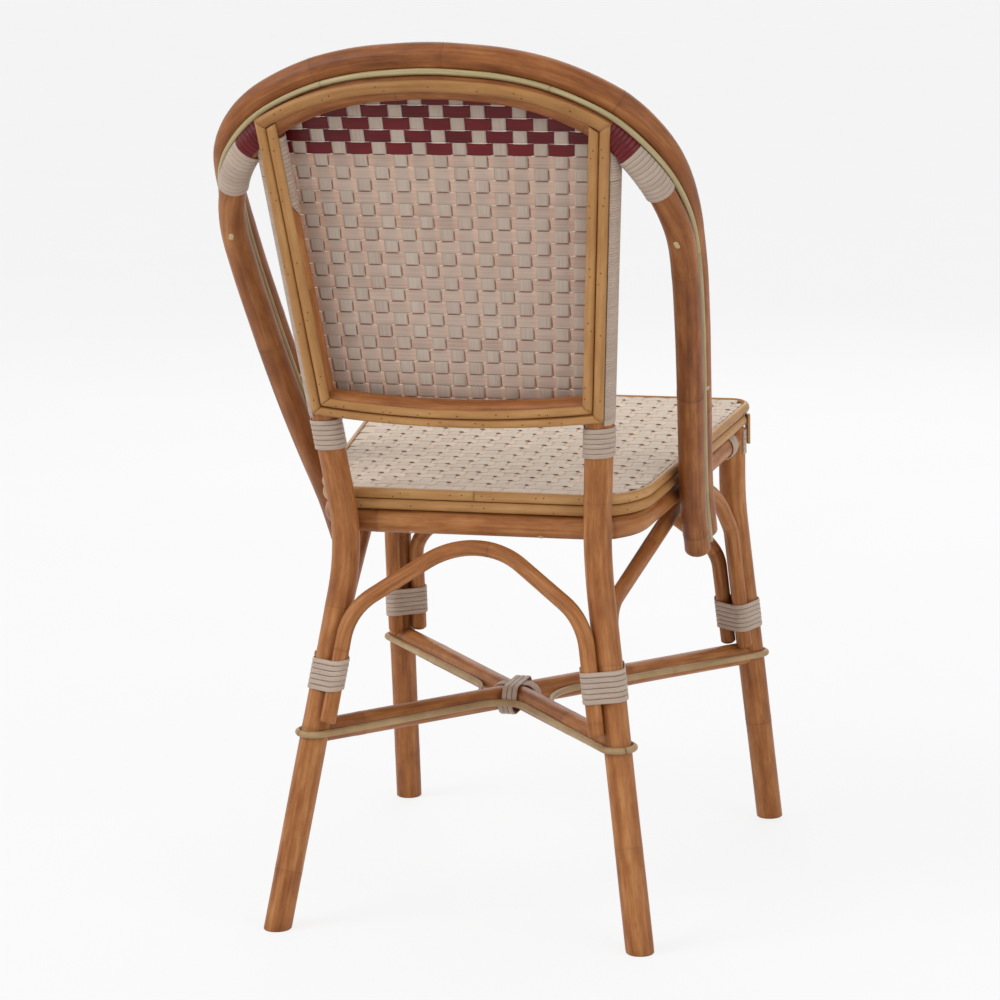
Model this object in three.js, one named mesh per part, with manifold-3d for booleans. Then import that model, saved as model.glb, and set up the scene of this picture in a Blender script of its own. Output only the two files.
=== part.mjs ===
// A rattan bistro chair: bent poles, a woven back and a woven seat.
// Millimetres, +Z up. The sitter faces -Y, and left means the sitter's left, +X.
import * as THREE from 'three';
import { mergeVertices } from 'three/addons/utils/BufferGeometryUtils.js';
import Module from 'manifold-3d';

const wasm = await Module();
wasm.setup();

// Poles
const legRadius = 14;
const hoopRadius = 13.5;
const railRadius = 12.5;
const stretcherRadius = 12;
const archRadius = 8;
const crossBarRadius = 8;
const clearance = 0.3;

// Seat, measured at the top of the weave
const seatFrontHeight = 477.5;
const seatFall = 39.5;
const seatRearHeight = seatFrontHeight - seatFall;
const seatFrontY = -220;
const seatDepth = 379;
const seatFrontHalfWidth = 206;
const seatRearHalfWidth = 168.5;
const seatFrontCornerRadius = 22;
const seatRearCornerRadius = 57;
const deckThickness = 3;
const seatFrameWidth = 16;
const seatFrameHeight = 19.5;
const seatFrameChamfer = 3;
const crossBarSpacing = 130;

// Half-round edgings
const edgingWidth = 11;
const edgingThickness = 5;
const edgingGap = 0.4;
const cornerEdgingThickness = 4;
const cornerEdgingLength = 31;
const cornerEdgingAngle = THREE.MathUtils.degToRad(30);

// Heights of the back are taken from the seat's rear edge and from the top of the inner hoop.
const backHeight = 414.5;
const hoopTopHeight = seatRearHeight + backHeight;

// Rear legs, which run on as the posts of the back
const rearFootHalfWidth = 187.8;
const rearFootSetback = 87.5;
const rearBendDrop = 56.5;
const rearBendHalfWidth = 127.5;
const rearBendSetback = 6;
const rearBendRadius = 190;
const postSpread = 40.5;
const postLean = 101.2;
const postHeadDrop = 44;

// Front legs
const frontLegSetback = 33;
const frontFootSplay = 20.4;
const frontFootForward = 90.8;
const frontBendDrop = 102;
const frontBendRadius = 200;

// Hoops of the back and arms
const hoopFootDrop = 83;
const hoopFootY = -6.6;
const hoopHalfWidth = 225.4;
const hoopTurnDrops = [-5, 168];
const hoopSamples = 300;
const hoopStride = 45;
const grooveStripRadius = 3;
const innerGrooveDrop = 107;

// Crossed stretchers and the strip that runs round them
const stretcherDrop = 242;
const stripWidth = 7;
const stripThickness = 4.4;
const stripGapSide = 13;
const stripGapEnd = 0.6;

// Arched braces under the seat, bound to the legs above the stretchers
const archEndRise = 13;
const rearBindingRise = 61.5;
const frontBindingRise = 47.5;
const archShoulderRise = 50;
const rearArch = { slopeDegrees: [32, 32], footDegrees: 45, shoulderRadius: 64, crownRadius: 80 };
const frontArch = { slopeDegrees: [36, 36], footDegrees: 15, shoulderRadius: 42, crownRadius: 92 };
const sideArch = { slopeDegrees: [15, 54], shoulderRadius: 40, crownRadius: 110, crownY: -60 };

// Woven back
const panelThickness = 3;
const panelSideInset = 0.2;
const panelTopInset = 1;
const borderTopOffset = 4;
const borderTopSpread = 4;
const borderSideInset = 3.4;
const borderSideWidth = 10.4;
const borderRimWidth = 12.4;
const borderFootWidth = 9;
const borderFootDrop = 1.8;
const backRailRise = 97.3;
const backRailSetback = 2;
const backRailSag = 9.5;
const backRailSteps = 10;

// Wraps over one side of a pole, in degrees from the sideways direction
const wrapThickness = 1.2;
const postWrapDegrees = [-86, 60];
const postWrapFootDrop = 14;
const postWrapHeadDrop = 87;
const legWrapDegrees = [-116, 26];
const legWrapInset = 2;
const legWrapLength = 26;
const darkWrapDegrees = [50, 116];
const paleWrapDegrees = [50, 310];
const darkWrapDrops = [65, 50];
const paleWrapDrops = [105, 69];

// Bindings of flat strand
const strandWidth = 4.7;
const strandThickness = 1.3;
const strandPitch = 5.3;
const legBindingTurns = 6;
const postBindingTurns = 6;
const postBindingDrop = 35;
const railBindingTurns = 3;
const lashingTurns = 3;
const windingSteps = 18;
const windingClear = 2 * clearance;

// Heights that follow from the seat and the top of the hoop
const rearBendHeight = seatRearHeight - rearBendDrop;
const postRise = hoopTopHeight - postHeadDrop - rearBendHeight;
const frontBendHeight = seatFrontHeight - frontBendDrop;
const hoopFootHeight = seatRearHeight - hoopFootDrop;
const stretcherHeight = seatRearHeight - stretcherDrop;
const archEndHeight = stretcherHeight + archEndRise;
const backRailHeight = seatRearHeight + backRailRise;

// Sections have this many sides, and bends this angle between stations.
const poleSides = 10;
const thinPoleSides = 8;
const grooveSides = 6;
const notchSides = 20;
const bendStep = THREE.MathUtils.degToRad(6);
const wrapStep = THREE.MathUtils.degToRad(20);
const edgeHalvings = 30;
const leastArchStep = 6;

const up = new THREE.Vector3(0, 0, 1);
const vec = (x, y, z) => new THREE.Vector3(x, y, z);

const rattan = new THREE.MeshStandardMaterial({ color: 0x96623a, roughness: 0.4, metalness: 0 });
const paleRattan = new THREE.MeshStandardMaterial({ color: 0xb88a52, roughness: 0.45, metalness: 0 });
const peel = new THREE.MeshStandardMaterial({ color: 0xb9a873, roughness: 0.5, metalness: 0 });
const paleStrand = new THREE.MeshStandardMaterial({ color: 0xb5a294, roughness: 0.55, metalness: 0 });
const darkStrand = new THREE.MeshStandardMaterial({ color: 0x5a1c24, roughness: 0.5, metalness: 0 });
const seatStrand = new THREE.MeshStandardMaterial({ color: 0xcdb9a6, roughness: 0.6, metalness: 0 });

const chair = new THREE.Group();

function addPart(name, geometry, material) {
  const mesh = new THREE.Mesh(geometry, material);
  mesh.name = name;
  chair.add(mesh);
}

// A path of stations, each with its own sideways and outward direction, for ExtrudeGeometry.
class Route extends THREE.Curve {
  constructor(points, frames) {
    super();
    this.points = points;
    this.frames = frames;
  }

  // Cuts the section at one station along a plane, given by its normal.
  slant(i, plane) {
    const tangent = this.frames.tangents[i];
    for (const axis of [this.frames.normals[i], this.frames.binormals[i]]) {
      axis.addScaledVector(tangent, -axis.dot(plane) / tangent.dot(plane));
    }
  }

  // A stretch of this route, moved sideways and outward, with the same section planes.
  beside(sideways, outward, first = 0, last = this.points.length - 1) {
    const stretch = (list) => list.slice(first, last + 1);
    const tangents = stretch(this.frames.tangents);
    const normals = stretch(this.frames.normals);
    const binormals = stretch(this.frames.binormals);
    const points = stretch(this.points).map((point, i) => {
      const moved = point.clone().addScaledVector(normals[i], sideways);
      return moved.addScaledVector(binormals[i], outward);
    });
    return new Route(points, { tangents, normals, binormals });
  }

  getPoint(t) {
    const place = t * (this.points.length - 1);
    const i = Math.min(Math.floor(place), this.points.length - 2);
    return this.points[i].clone().lerp(this.points[i + 1], place - i);
  }

  getSpacedPoints() {
    return this.points.map((point) => point.clone());
  }

  computeFrenetFrames() {
    return this.frames;
  }
}

// The side of each station is a hint, turned square to the path.
function routeThrough(points, sideAt, { startPlane, endPlane } = {}) {
  const tangents = points.map((point, i) => {
    const before = points[Math.max(i - 1, 0)];
    const after = points[Math.min(i + 1, points.length - 1)];
    const arriving = point.clone().sub(before).normalize();
    const leaving = after.clone().sub(point).normalize();
    return arriving.add(leaving).normalize();
  });
  const normals = tangents.map((tangent, i) => {
    const side = sideAt(points[i], tangent);
    return side.clone().addScaledVector(tangent, -side.dot(tangent)).normalize();
  });
  const binormals = tangents.map((tangent, i) => tangent.clone().cross(normals[i]));
  const route = new Route(points, { tangents, normals, binormals });
  if (startPlane) route.slant(0, startPlane);
  if (endPlane) route.slant(points.length - 1, endPlane);
  return route;
}

function polygonShape(points) {
  return new THREE.Shape(points.map(([x, y]) => new THREE.Vector2(x, y)));
}

function roundSection(radius, sides) {
  const corner = (i) => (2 * Math.PI * (i + 1 / 2)) / sides;
  const points = Array.from({ length: sides }, (_, i) => [
    radius * Math.cos(corner(i)),
    radius * Math.sin(corner(i)),
  ]);
  return polygonShape(points);
}

// Flat on its lower side, where it lies on what carries it.
function halfRoundSection(width, thickness, steps = 4) {
  const points = Array.from({ length: steps + 1 }, (_, i) => {
    const angle = (Math.PI * i) / steps;
    return [(width / 2) * Math.cos(angle), thickness * Math.sin(angle)];
  });
  return polygonShape(points);
}

function bandSection(width, thickness) {
  return polygonShape([
    [width / 2, 0],
    [width / 2, thickness],
    [-width / 2, thickness],
    [-width / 2, 0],
  ]);
}

// Part of a ring, for a wrap that goes round one side of a pole.
function shellSection(inner, thickness, from, to, steps) {
  const arc = (radius) => Array.from({ length: steps + 1 }, (_, i) => {
    const angle = from + ((to - from) * i) / steps;
    return [radius * Math.cos(angle), radius * Math.sin(angle)];
  });
  return polygonShape([...arc(inner + thickness), ...arc(inner).reverse()]);
}

function chamferedSection(width, height, chamfer) {
  const right = width / 2;
  const top = height / 2;
  const corners = [
    [right, -top + chamfer],
    [right, top - chamfer],
    [right - chamfer, top],
    [-right + chamfer, top],
    [-right, top - chamfer],
    [-right, -top + chamfer],
    [-right + chamfer, -top],
    [right - chamfer, -top],
  ];
  return polygonShape(corners);
}

function sweep(section, route) {
  return new THREE.ExtrudeGeometry(section, {
    steps: route.points.length - 1,
    extrudePath: route,
    bevelEnabled: false,
  });
}

// A line of corners with an arc at each bend.
function bentPath(corners, radii) {
  const path = [corners[0].clone()];
  for (let i = 1; i < corners.length - 1; i += 1) {
    const arriving = corners[i].clone().sub(corners[i - 1]).normalize();
    const leaving = corners[i + 1].clone().sub(corners[i]).normalize();
    const turn = arriving.angleTo(leaving);
    const radius = radii[i - 1];
    const start = corners[i].clone().addScaledVector(arriving, -radius * Math.tan(turn / 2));
    const inward = leaving.clone().sub(arriving).normalize();
    const centre = corners[i].clone().addScaledVector(inward, radius / Math.cos(turn / 2));
    const spoke = start.clone().sub(centre);
    const steps = Math.ceil(turn / bendStep);
    for (let k = 0; k <= steps; k += 1) {
      const angle = (turn * k) / steps;
      const point = centre.clone().addScaledVector(spoke, Math.cos(angle));
      path.push(point.addScaledVector(arriving, radius * Math.sin(angle)));
    }
  }
  path.push(corners[corners.length - 1].clone());
  return path;
}

function toSolid(geometry) {
  const bare = geometry.clone();
  bare.deleteAttribute('normal');
  bare.deleteAttribute('uv');
  const merged = mergeVertices(bare, 1e-4);
  const mesh = new wasm.Mesh({
    numProp: 3,
    vertProperties: new Float32Array(merged.attributes.position.array),
    triVerts: new Uint32Array(merged.index.array),
  });
  return new wasm.Manifold(mesh);
}

function toGeometry(solid) {
  const mesh = solid.getMesh();
  const geometry = new THREE.BufferGeometry();
  geometry.setAttribute('position', new THREE.BufferAttribute(mesh.vertProperties, 3));
  geometry.setIndex(new THREE.BufferAttribute(mesh.triVerts, 1));
  return geometry;
}

function cut(geometry, ...tools) {
  const solid = tools.reduce((rest, tool) => rest.subtract(toSolid(tool)), toSolid(geometry));
  return toGeometry(solid);
}

const mirrored = (points) => points.map((point) => vec(-point.x, point.y, point.z));
const sides = [['left', 1], ['right', -1]];
const placed = (points, side) => (side > 0 ? points : mirrored(points));

// The seat plane falls towards the rear.
const seatRearY = seatFrontY + seatDepth;
const seatSlope = (seatRearHeight - seatFrontHeight) / seatDepth;
const seatHeightAt = (y) => seatFrontHeight + seatSlope * (y - seatFrontY);
const seatNormal = vec(0, -seatSlope, 1).normalize();
const seatRearward = vec(0, 1, seatSlope).normalize();

// A point below the top of the seat, square to it.
function seatPoint(plan, drop) {
  return vec(plan.x, plan.y, seatHeightAt(plan.y)).addScaledVector(seatNormal, -drop);
}

// Half width of the seat at a depth, on its straight side.
const seatTaper = (seatFrontHalfWidth - seatRearHalfWidth) / seatDepth;

function seatHalfWidthAt(y, inset = 0) {
  return seatFrontHalfWidth - seatTaper * (y - seatFrontY) - inset * Math.hypot(1, seatTaper);
}

// The right-hand half of the seat outline from the front centre to the rear centre, in plan.
function seatOutline(inset) {
  const front = seatFrontY + inset;
  const rear = seatRearY - inset;
  const corners = [
    vec(0, front, 0),
    vec(seatHalfWidthAt(front, inset), front, 0),
    vec(seatHalfWidthAt(rear, inset), rear, 0),
    vec(0, rear, 0),
  ];
  const radii = [seatFrontCornerRadius - inset, seatRearCornerRadius - inset];
  return bentPath(corners, radii.map((radius) => Math.max(radius, clearance)));
}

// The whole outline from rear centre round the front and back, as seen from above.
function seatLoop(inset, drop) {
  const half = seatOutline(inset);
  const leftHalf = half.map((point) => seatPoint(point, drop));
  const rightHalf = mirrored(leftHalf).reverse();
  return [...rightHalf, ...leftHalf.slice(1)];
}

// Opens a closed loop by a small joint at its two ends.
function openJoint(points) {
  const last = points.length - 1;
  const shift = (end, next) => {
    const along = next.clone().sub(end).normalize();
    return end.clone().addScaledVector(along, clearance);
  };
  const first = shift(points[0], points[1]);
  const final = shift(points[last], points[last - 1]);
  return [first, ...points.slice(1, last), final];
}

// Rear legs
const rearBendY = seatRearY + rearBendSetback;
const rearLegCorners = [
  vec(rearFootHalfWidth, seatRearY + rearFootSetback, 0),
  vec(rearBendHalfWidth, rearBendY, rearBendHeight),
  vec(rearBendHalfWidth + postSpread, rearBendY + postLean, rearBendHeight + postRise),
];
const rearLegPath = bentPath(rearLegCorners, [rearBendRadius]);
const postDirection = rearLegCorners[2].clone().sub(rearLegCorners[1]).normalize();
const rearLegDirection = rearLegCorners[1].clone().sub(rearLegCorners[0]).normalize();

// The plane of the back, through both posts.
const backSlope = postLean / postRise;
const backUp = vec(0, backSlope, 1).normalize();
const backFront = vec(0, -1, backSlope).normalize();
const backPlaneY = (z) => rearBendY + backSlope * (z - rearBendHeight);

function postPoint(z) {
  return rearLegCorners[1].clone().addScaledVector(postDirection, (z - rearBendHeight) / postDirection.z);
}

function legPoint(corners, direction, z) {
  return corners[0].clone().addScaledVector(direction, z / direction.z);
}

// Front legs stand under the front corners of the seat.
const railDrop = deckThickness + clearance + seatFrameHeight + 2 * clearance + railRadius;
const frontLegInset = edgingThickness / 2 + railRadius;
const frontLegTopY = seatFrontY + frontLegSetback;
const frontLegTopX = seatHalfWidthAt(frontLegTopY, frontLegInset);
const frontLegTopZ = seatHeightAt(frontLegTopY) - railDrop + railRadius;
const frontLegCorners = [
  vec(frontLegTopX + frontFootSplay, frontLegTopY - frontFootForward, 0),
  vec(frontLegTopX, frontLegTopY, frontBendHeight),
  vec(frontLegTopX, frontLegTopY, frontLegTopZ),
];
const frontLegPath = bentPath(frontLegCorners, [frontBendRadius]);
const frontLegDirection = frontLegCorners[1].clone().sub(frontLegCorners[0]).normalize();

// Stations of one half of the inner hoop, from the foot of the arm to the top centre:
// shares of the half width and of the rise, and on the arm of the sweep to the rear.
const hoopShares = [
  [0.846, 0, 0],
  [0.86, 0.096, 0.113],
  [0.89, 0.199, 0.237],
  [0.922, 0.303, 0.354],
  [0.951, 0.41, 0.468],
  [0.976, 0.515, 0.573],
  [0.996, 0.618, 0.677],
  [1, 0.702, 0.768],
  [0.97, 0.768, 0.846],
  [0.917, 0.825, 0.911],
  [0.84, 0.874],
  [0.748, 0.914],
  [0.627, 0.946],
  [0.477, 0.973],
  [0.31, 0.99],
  [0.155, 0.997],
  [0, 1],
];
const hoopRise = hoopTopHeight - hoopFootHeight;
const hoopPlaneY = (z) => backPlaneY(z) + legRadius - hoopRadius;
const hoopSweep = hoopPlaneY(hoopTopHeight) - hoopFootY;

function hoopStation([widthShare, riseShare, sweepShare]) {
  const z = hoopFootHeight + riseShare * hoopRise;
  const y = sweepShare === undefined ? hoopPlaneY(z) : hoopFootY + sweepShare * hoopSweep;
  return vec(widthShare * hoopHalfWidth, y, z);
}

const hoopHalf = hoopShares.map(hoopStation);
const hoopControl = [...hoopHalf, ...mirrored(hoopHalf).reverse().slice(1)];
const hoopCurve = new THREE.CatmullRomCurve3(hoopControl, false, 'centripetal');

// Keeps the points of a fine path at which it has turned enough since the last one kept,
// and those at the heights where wraps and strips end.
function thinned(fine, turnLimit, lengthLimit, heights) {
  const kept = [fine[0]];
  let heading = fine[1].clone().sub(fine[0]);
  for (let i = 1; i < fine.length - 1; i += 1) {
    const leaving = fine[i + 1].clone().sub(fine[i]);
    const length = fine[i].distanceTo(kept[kept.length - 1]);
    const marked = heights.some((z) => fine[i].z >= z && fine[i + 1].z < z);
    if (marked || leaving.angleTo(heading) > turnLimit || length > lengthLimit) {
      kept.push(fine[i]);
      heading = leaving;
    }
  }
  return [...kept, fine[fine.length - 1]];
}

const hoopFine = hoopCurve.getSpacedPoints(2 * hoopSamples).slice(0, hoopSamples + 1).reverse();
const hoopMarks = [innerGrooveDrop, ...darkWrapDrops, ...paleWrapDrops].map((drop) => hoopTopHeight - drop);
const hoopTopDown = thinned(hoopFine, bendStep, hoopStride, hoopMarks);
const innerHoopPath = [...hoopTopDown.slice().reverse(), ...mirrored(hoopTopDown).slice(1)];
const hoopSteps = innerHoopPath.length - 1;

// The hoops face rearward at the top, and on the arms they face out square to the seat's sides.
const armTurn = Math.PI / 2 - Math.atan(seatTaper);

function hoopFacing(point) {
  const drop = hoopTopHeight - point.z;
  const turn = THREE.MathUtils.smoothstep(drop, ...hoopTurnDrops) * armTurn;
  return vec(Math.sin(turn) * Math.sign(point.x), Math.cos(turn), 0);
}

const hoopRadial = (point, tangent) => hoopFacing(point).cross(tangent);
const hoopRoute = routeThrough(innerHoopPath, hoopRadial);
const hoopSpacing = 2 * hoopRadius + clearance;
const hoopSection = roundSection(hoopRadius, poleSides);
const fatInnerHoop = sweep(roundSection(hoopRadius + clearance, poleSides), hoopRoute);
addPart('hoop_inner', sweep(hoopSection, hoopRoute), rattan);
addPart('hoop_outer', sweep(hoopSection, hoopRoute.beside(hoopSpacing, 0)), rattan);

// The station of the hoop on the left arm that is nearest to a height.
function hoopStationAt(z) {
  let best = 0;
  for (let i = 0; i < hoopTopDown.length; i += 1) {
    if (Math.abs(innerHoopPath[i].z - z) < Math.abs(innerHoopPath[best].z - z)) best = i;
  }
  return best;
}

// The matching stretch of the hoop on either arm.
function armStretch(side, lower, upper) {
  const [first, last] = [hoopStationAt(lower), hoopStationAt(upper)];
  return side > 0 ? [first, last] : [hoopSteps - last, hoopSteps - first];
}

// Thin strips of peel in the grooves between the two hoops.
const stripTouch = hoopRadius + grooveStripRadius + clearance;
const stripOffset = Math.sqrt(stripTouch ** 2 - (hoopSpacing / 2) ** 2);
const grooveSection = roundSection(grooveStripRadius, grooveSides);
addPart('groove_strip_outer', sweep(grooveSection, hoopRoute.beside(hoopSpacing / 2, stripOffset)), peel);
for (const [name, side] of sides) {
  const arm = armStretch(side, hoopFootHeight, hoopTopHeight - innerGrooveDrop);
  const route = hoopRoute.beside(hoopSpacing / 2, -stripOffset, ...arm);
  addPart(`groove_strip_inner_${name}`, sweep(grooveSection, route), peel);
}

// Legs
const legSection = roundSection(legRadius, poleSides);
const fatLegSection = roundSection(legRadius + clearance, poleSides);
const legSide = () => vec(1, 0, 0);
const frontLegRoutes = {};
const rearLegRoutes = {};
for (const [name, side] of sides) {
  const rear = routeThrough(placed(rearLegPath, side), legSide, { startPlane: up });
  rearLegRoutes[name] = rear;
  addPart(`rear_leg_${name}`, cut(sweep(legSection, rear), fatInnerHoop), rattan);
  const planes = { startPlane: up, endPlane: seatNormal };
  const front = routeThrough(placed(frontLegPath, side), legSide, planes);
  frontLegRoutes[name] = front;
  addPart(`front_leg_${name}`, sweep(legSection, front), rattan);
}
const fatLegs = [...Object.values(rearLegRoutes), ...Object.values(frontLegRoutes)]
  .map((route) => sweep(fatLegSection, route));
const fatPosts = Object.values(rearLegRoutes).map((route) => sweep(fatLegSection, route));

// Seat rail: one pole bent round the sides and the rear, and a straight one in front.
const railSection = roundSection(railRadius, poleSides);
const railInset = edgingThickness / 2 + railRadius;
const railPoint = (x, y) => vec(x, y, seatHeightAt(y) - railDrop);
const railHalf = seatOutline(railInset).filter((point) => point.y > frontLegTopY);
const railEnd = vec(seatHalfWidthAt(frontLegTopY, railInset), frontLegTopY, 0);
const railLeft = [railEnd, ...railHalf].map((point) => railPoint(point.x, point.y));
const railPath = [...railLeft, ...mirrored(railLeft).reverse().slice(1)];
const railRoute = routeThrough(railPath, () => seatNormal);
addPart('seat_rail_bent', cut(sweep(railSection, railRoute), ...fatLegs), rattan);

const frontRailEnd = railPoint(frontLegTopX, frontLegTopY);
const frontRailRoute = routeThrough([frontRailEnd, ...mirrored([frontRailEnd])], () => up);
const fatRail = sweep(roundSection(railRadius + clearance, poleSides), railRoute);
addPart('seat_rail_front', cut(sweep(railSection, frontRailRoute), ...fatLegs, fatRail), rattan);

// Seat frame under the weave, with two bars across it.
const frameInset = edgingThickness + clearance + seatFrameWidth / 2;
const frameDrop = deckThickness + clearance + seatFrameHeight / 2;
const frameSection = chamferedSection(seatFrameHeight, seatFrameWidth, seatFrameChamfer);
const frameRoute = routeThrough(openJoint(seatLoop(frameInset, frameDrop)), () => seatNormal);

// The underside of the frame is notched over the bindings of the rail.
const railDirection = railLeft[1].clone().sub(railLeft[0]).normalize();
const railBindingSpan = railBindingTurns * strandPitch;
const railBindingStart = legRadius + wrapThickness + strandWidth;
const railBindingPoint = (along) => railLeft[0].clone().addScaledVector(railDirection, along);
const bindingReach = (railRadius + windingClear) / Math.cos(Math.PI / windingSteps) + strandThickness;
const notchRadius = (bindingReach + clearance) / Math.cos(Math.PI / notchSides);
const notchEnds = [railBindingStart - strandWidth, railBindingStart + railBindingSpan + strandWidth];
const notches = sides.map(([, side]) => {
  const route = routeThrough(placed(notchEnds.map(railBindingPoint), side), () => up);
  return sweep(roundSection(notchRadius, notchSides), route);
});
addPart('seat_frame', cut(sweep(frameSection, frameRoute), ...notches), rattan);

const fatFrameSection = chamferedSection(
  seatFrameHeight + 2 * clearance,
  seatFrameWidth + 2 * clearance,
  seatFrameChamfer,
);
const fatFrameRoute = routeThrough(seatLoop(frameInset, frameDrop), () => seatNormal);
const fatFrame = sweep(fatFrameSection, fatFrameRoute);
const seatMidY = (seatFrontY + seatRearY) / 2;
const crossBars = [
  ['front', seatMidY - crossBarSpacing / 2],
  ['rear', seatMidY + crossBarSpacing / 2],
];
for (const [name, y] of crossBars) {
  const end = seatPoint(vec(seatHalfWidthAt(y, frameInset), y, 0), frameDrop);
  const route = routeThrough([end, ...mirrored([end])], () => up);
  addPart(`seat_bar_${name}`, cut(sweep(roundSection(crossBarRadius, thinPoleSides), route), fatFrame), rattan);
}

// Woven deck, a sheet that lies on the frame and slopes with it.
function seatDeck() {
  const origin = vec(0, 0, seatHeightAt(0));
  const outline = seatLoop(edgingThickness + clearance, 0).slice(0, -1);
  const flat = (point) => new THREE.Vector2(point.x, point.clone().sub(origin).dot(seatRearward));
  const deck = new THREE.ExtrudeGeometry(new THREE.Shape(outline.map(flat)), {
    depth: deckThickness,
    bevelEnabled: false,
  });
  deck.translate(0, 0, -deckThickness);
  return deck.applyMatrix4(new THREE.Matrix4().makeBasis(vec(1, 0, 0), seatRearward, seatNormal).setPosition(origin));
}
addPart('seat_weave', seatDeck(), seatStrand);

// Two half-round edgings one above the other round the seat, the lower one open in front.
const edging = halfRoundSection(edgingWidth, edgingThickness);
const upperEdgeRoute = routeThrough(openJoint(seatLoop(edgingThickness, edgingWidth / 2)), () => seatNormal);
addPart('seat_edging_upper', sweep(edging, upperEdgeRoute), paleRattan);

const cornerOut = vec(Math.cos(cornerEdgingAngle), -Math.sin(cornerEdgingAngle), 0);
const cornerReach = legRadius + wrapThickness + 2 * clearance;
const cornerBase = vec(frontLegTopX, frontLegTopY, 0).addScaledVector(cornerOut, cornerReach);
const lowerEdgeDrop = edgingWidth * 3 / 2 + edgingGap;
const lowerEdgeY = cornerBase.y + (edgingWidth / 2) * cornerOut.x + clearance;
const lowerHalf = seatOutline(edgingThickness).filter((point) => point.y > lowerEdgeY);
const lowerEnd = vec(seatHalfWidthAt(lowerEdgeY, edgingThickness), lowerEdgeY, 0);
const lowerLeft = [lowerEnd, ...lowerHalf].map((point) => seatPoint(point, lowerEdgeDrop));
const lowerPath = [...lowerLeft, ...mirrored(lowerLeft).reverse().slice(1)];
addPart('seat_edging_lower', sweep(edging, routeThrough(lowerPath, () => seatNormal)), paleRattan);

// Short upright edging on the corner of each front leg.
const cornerEdging = halfRoundSection(edgingWidth, cornerEdgingThickness);
for (const [name, side] of sides) {
  const top = placed([seatPoint(cornerBase, edgingWidth + edgingGap + clearance)], side)[0];
  const foot = top.clone().addScaledVector(up, -cornerEdgingLength);
  const outward = placed([cornerOut], side)[0];
  const route = routeThrough([foot, top], () => outward.clone().cross(up), { endPlane: seatNormal });
  addPart(`corner_edging_${name}`, sweep(cornerEdging, route), paleRattan);
}

// Arches: each end lies along a leg, and the crown touches the rail.
const rearLeg = {
  corners: rearLegCorners,
  direction: rearLegDirection,
  bindingHeight: stretcherHeight + rearBindingRise,
};
const frontLeg = {
  corners: frontLegCorners,
  direction: frontLegDirection,
  bindingHeight: stretcherHeight + frontBindingRise,
};
const archSection = roundSection(archRadius, thinPoleSides);
const archSpacing = legRadius + archRadius + 2 * clearance;

// Square to the rail above it.
const archCrown = (x, y) => railPoint(x, y).addScaledVector(seatNormal, -(railRadius + archRadius + clearance));

// The corner that the bend at the crown rounds off. Its two slopes to the rail may differ.
function crownCorner(crown, { onward, upward }, { slopeDegrees, crownRadius }) {
  const [rising, falling] = slopeDegrees.map(THREE.MathUtils.degToRad);
  const reach = crownRadius / Math.cos((rising + falling) / 2);
  const lean = (falling - rising) / 2;
  const corner = crown.clone().addScaledVector(upward, reach * Math.cos(lean) - crownRadius);
  return corner.addScaledVector(onward, reach * Math.sin(lean));
}

// Half of an arch runs up along its leg and leans over at the shoulder.
function archHalf(leg, offset, apex, { onward, upward }, slopeDegrees) {
  const at = (z) => legPoint(leg.corners, leg.direction, z).add(offset);
  const nearShoulder = at(leg.bindingHeight + archShoulderRise);
  const arm = nearShoulder.clone().sub(apex);
  const fall = Math.abs(arm.dot(onward)) * Math.tan(THREE.MathUtils.degToRad(slopeDegrees));
  const miss = (fall + arm.dot(upward)) / leg.direction.dot(upward);
  return [at(archEndHeight), nearShoulder.addScaledVector(leg.direction, -miss)];
}

function addArch(name, corners, { shoulderRadius, crownRadius }, side) {
  const path = bentPath(corners, [shoulderRadius, crownRadius, shoulderRadius]);
  addPart(name, sweep(archSection, routeThrough(path, () => side)), rattan);
}

// The foot of an arch between left and right stands inside its leg, turned to the rear.
function crossFoot(arch) {
  const angle = THREE.MathUtils.degToRad(arch.footDegrees);
  return vec(-Math.cos(angle), Math.sin(angle), 0).multiplyScalar(archSpacing);
}

const crossArches = [
  ['arch_rear', rearLeg, rearArch, seatRearY - railInset],
  ['arch_front', frontLeg, frontArch, frontLegTopY],
];
const acrossSeat = { onward: vec(1, 0, 0), upward: up };
for (const [name, leg, arch, crownY] of crossArches) {
  const apex = crownCorner(archCrown(0, crownY), acrossSeat, arch);
  const half = archHalf(leg, crossFoot(arch), apex, acrossSeat, arch.slopeDegrees[0]);
  addArch(name, [...half, apex, ...mirrored(half).reverse()], arch, vec(0, 1, 0));
}

const alongSeat = { onward: seatRearward.clone().negate(), upward: seatNormal };
const sideCrown = archCrown(seatHalfWidthAt(sideArch.crownY, railInset), sideArch.crownY);
const sideApex = crownCorner(sideCrown, alongSeat, sideArch);
const sideRear = archHalf(rearLeg, vec(0, -archSpacing, 0), sideApex, alongSeat, sideArch.slopeDegrees[0]);
const sideFront = archHalf(frontLeg, vec(0, archSpacing, 0), sideApex, alongSeat, sideArch.slopeDegrees[1]);
const sideCorners = [...sideRear, sideApex, ...sideFront.reverse()];
for (const [name, side] of sides) {
  addArch(`arch_${name}`, placed(sideCorners, side), sideArch, vec(1, 0, 0));
}

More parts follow.
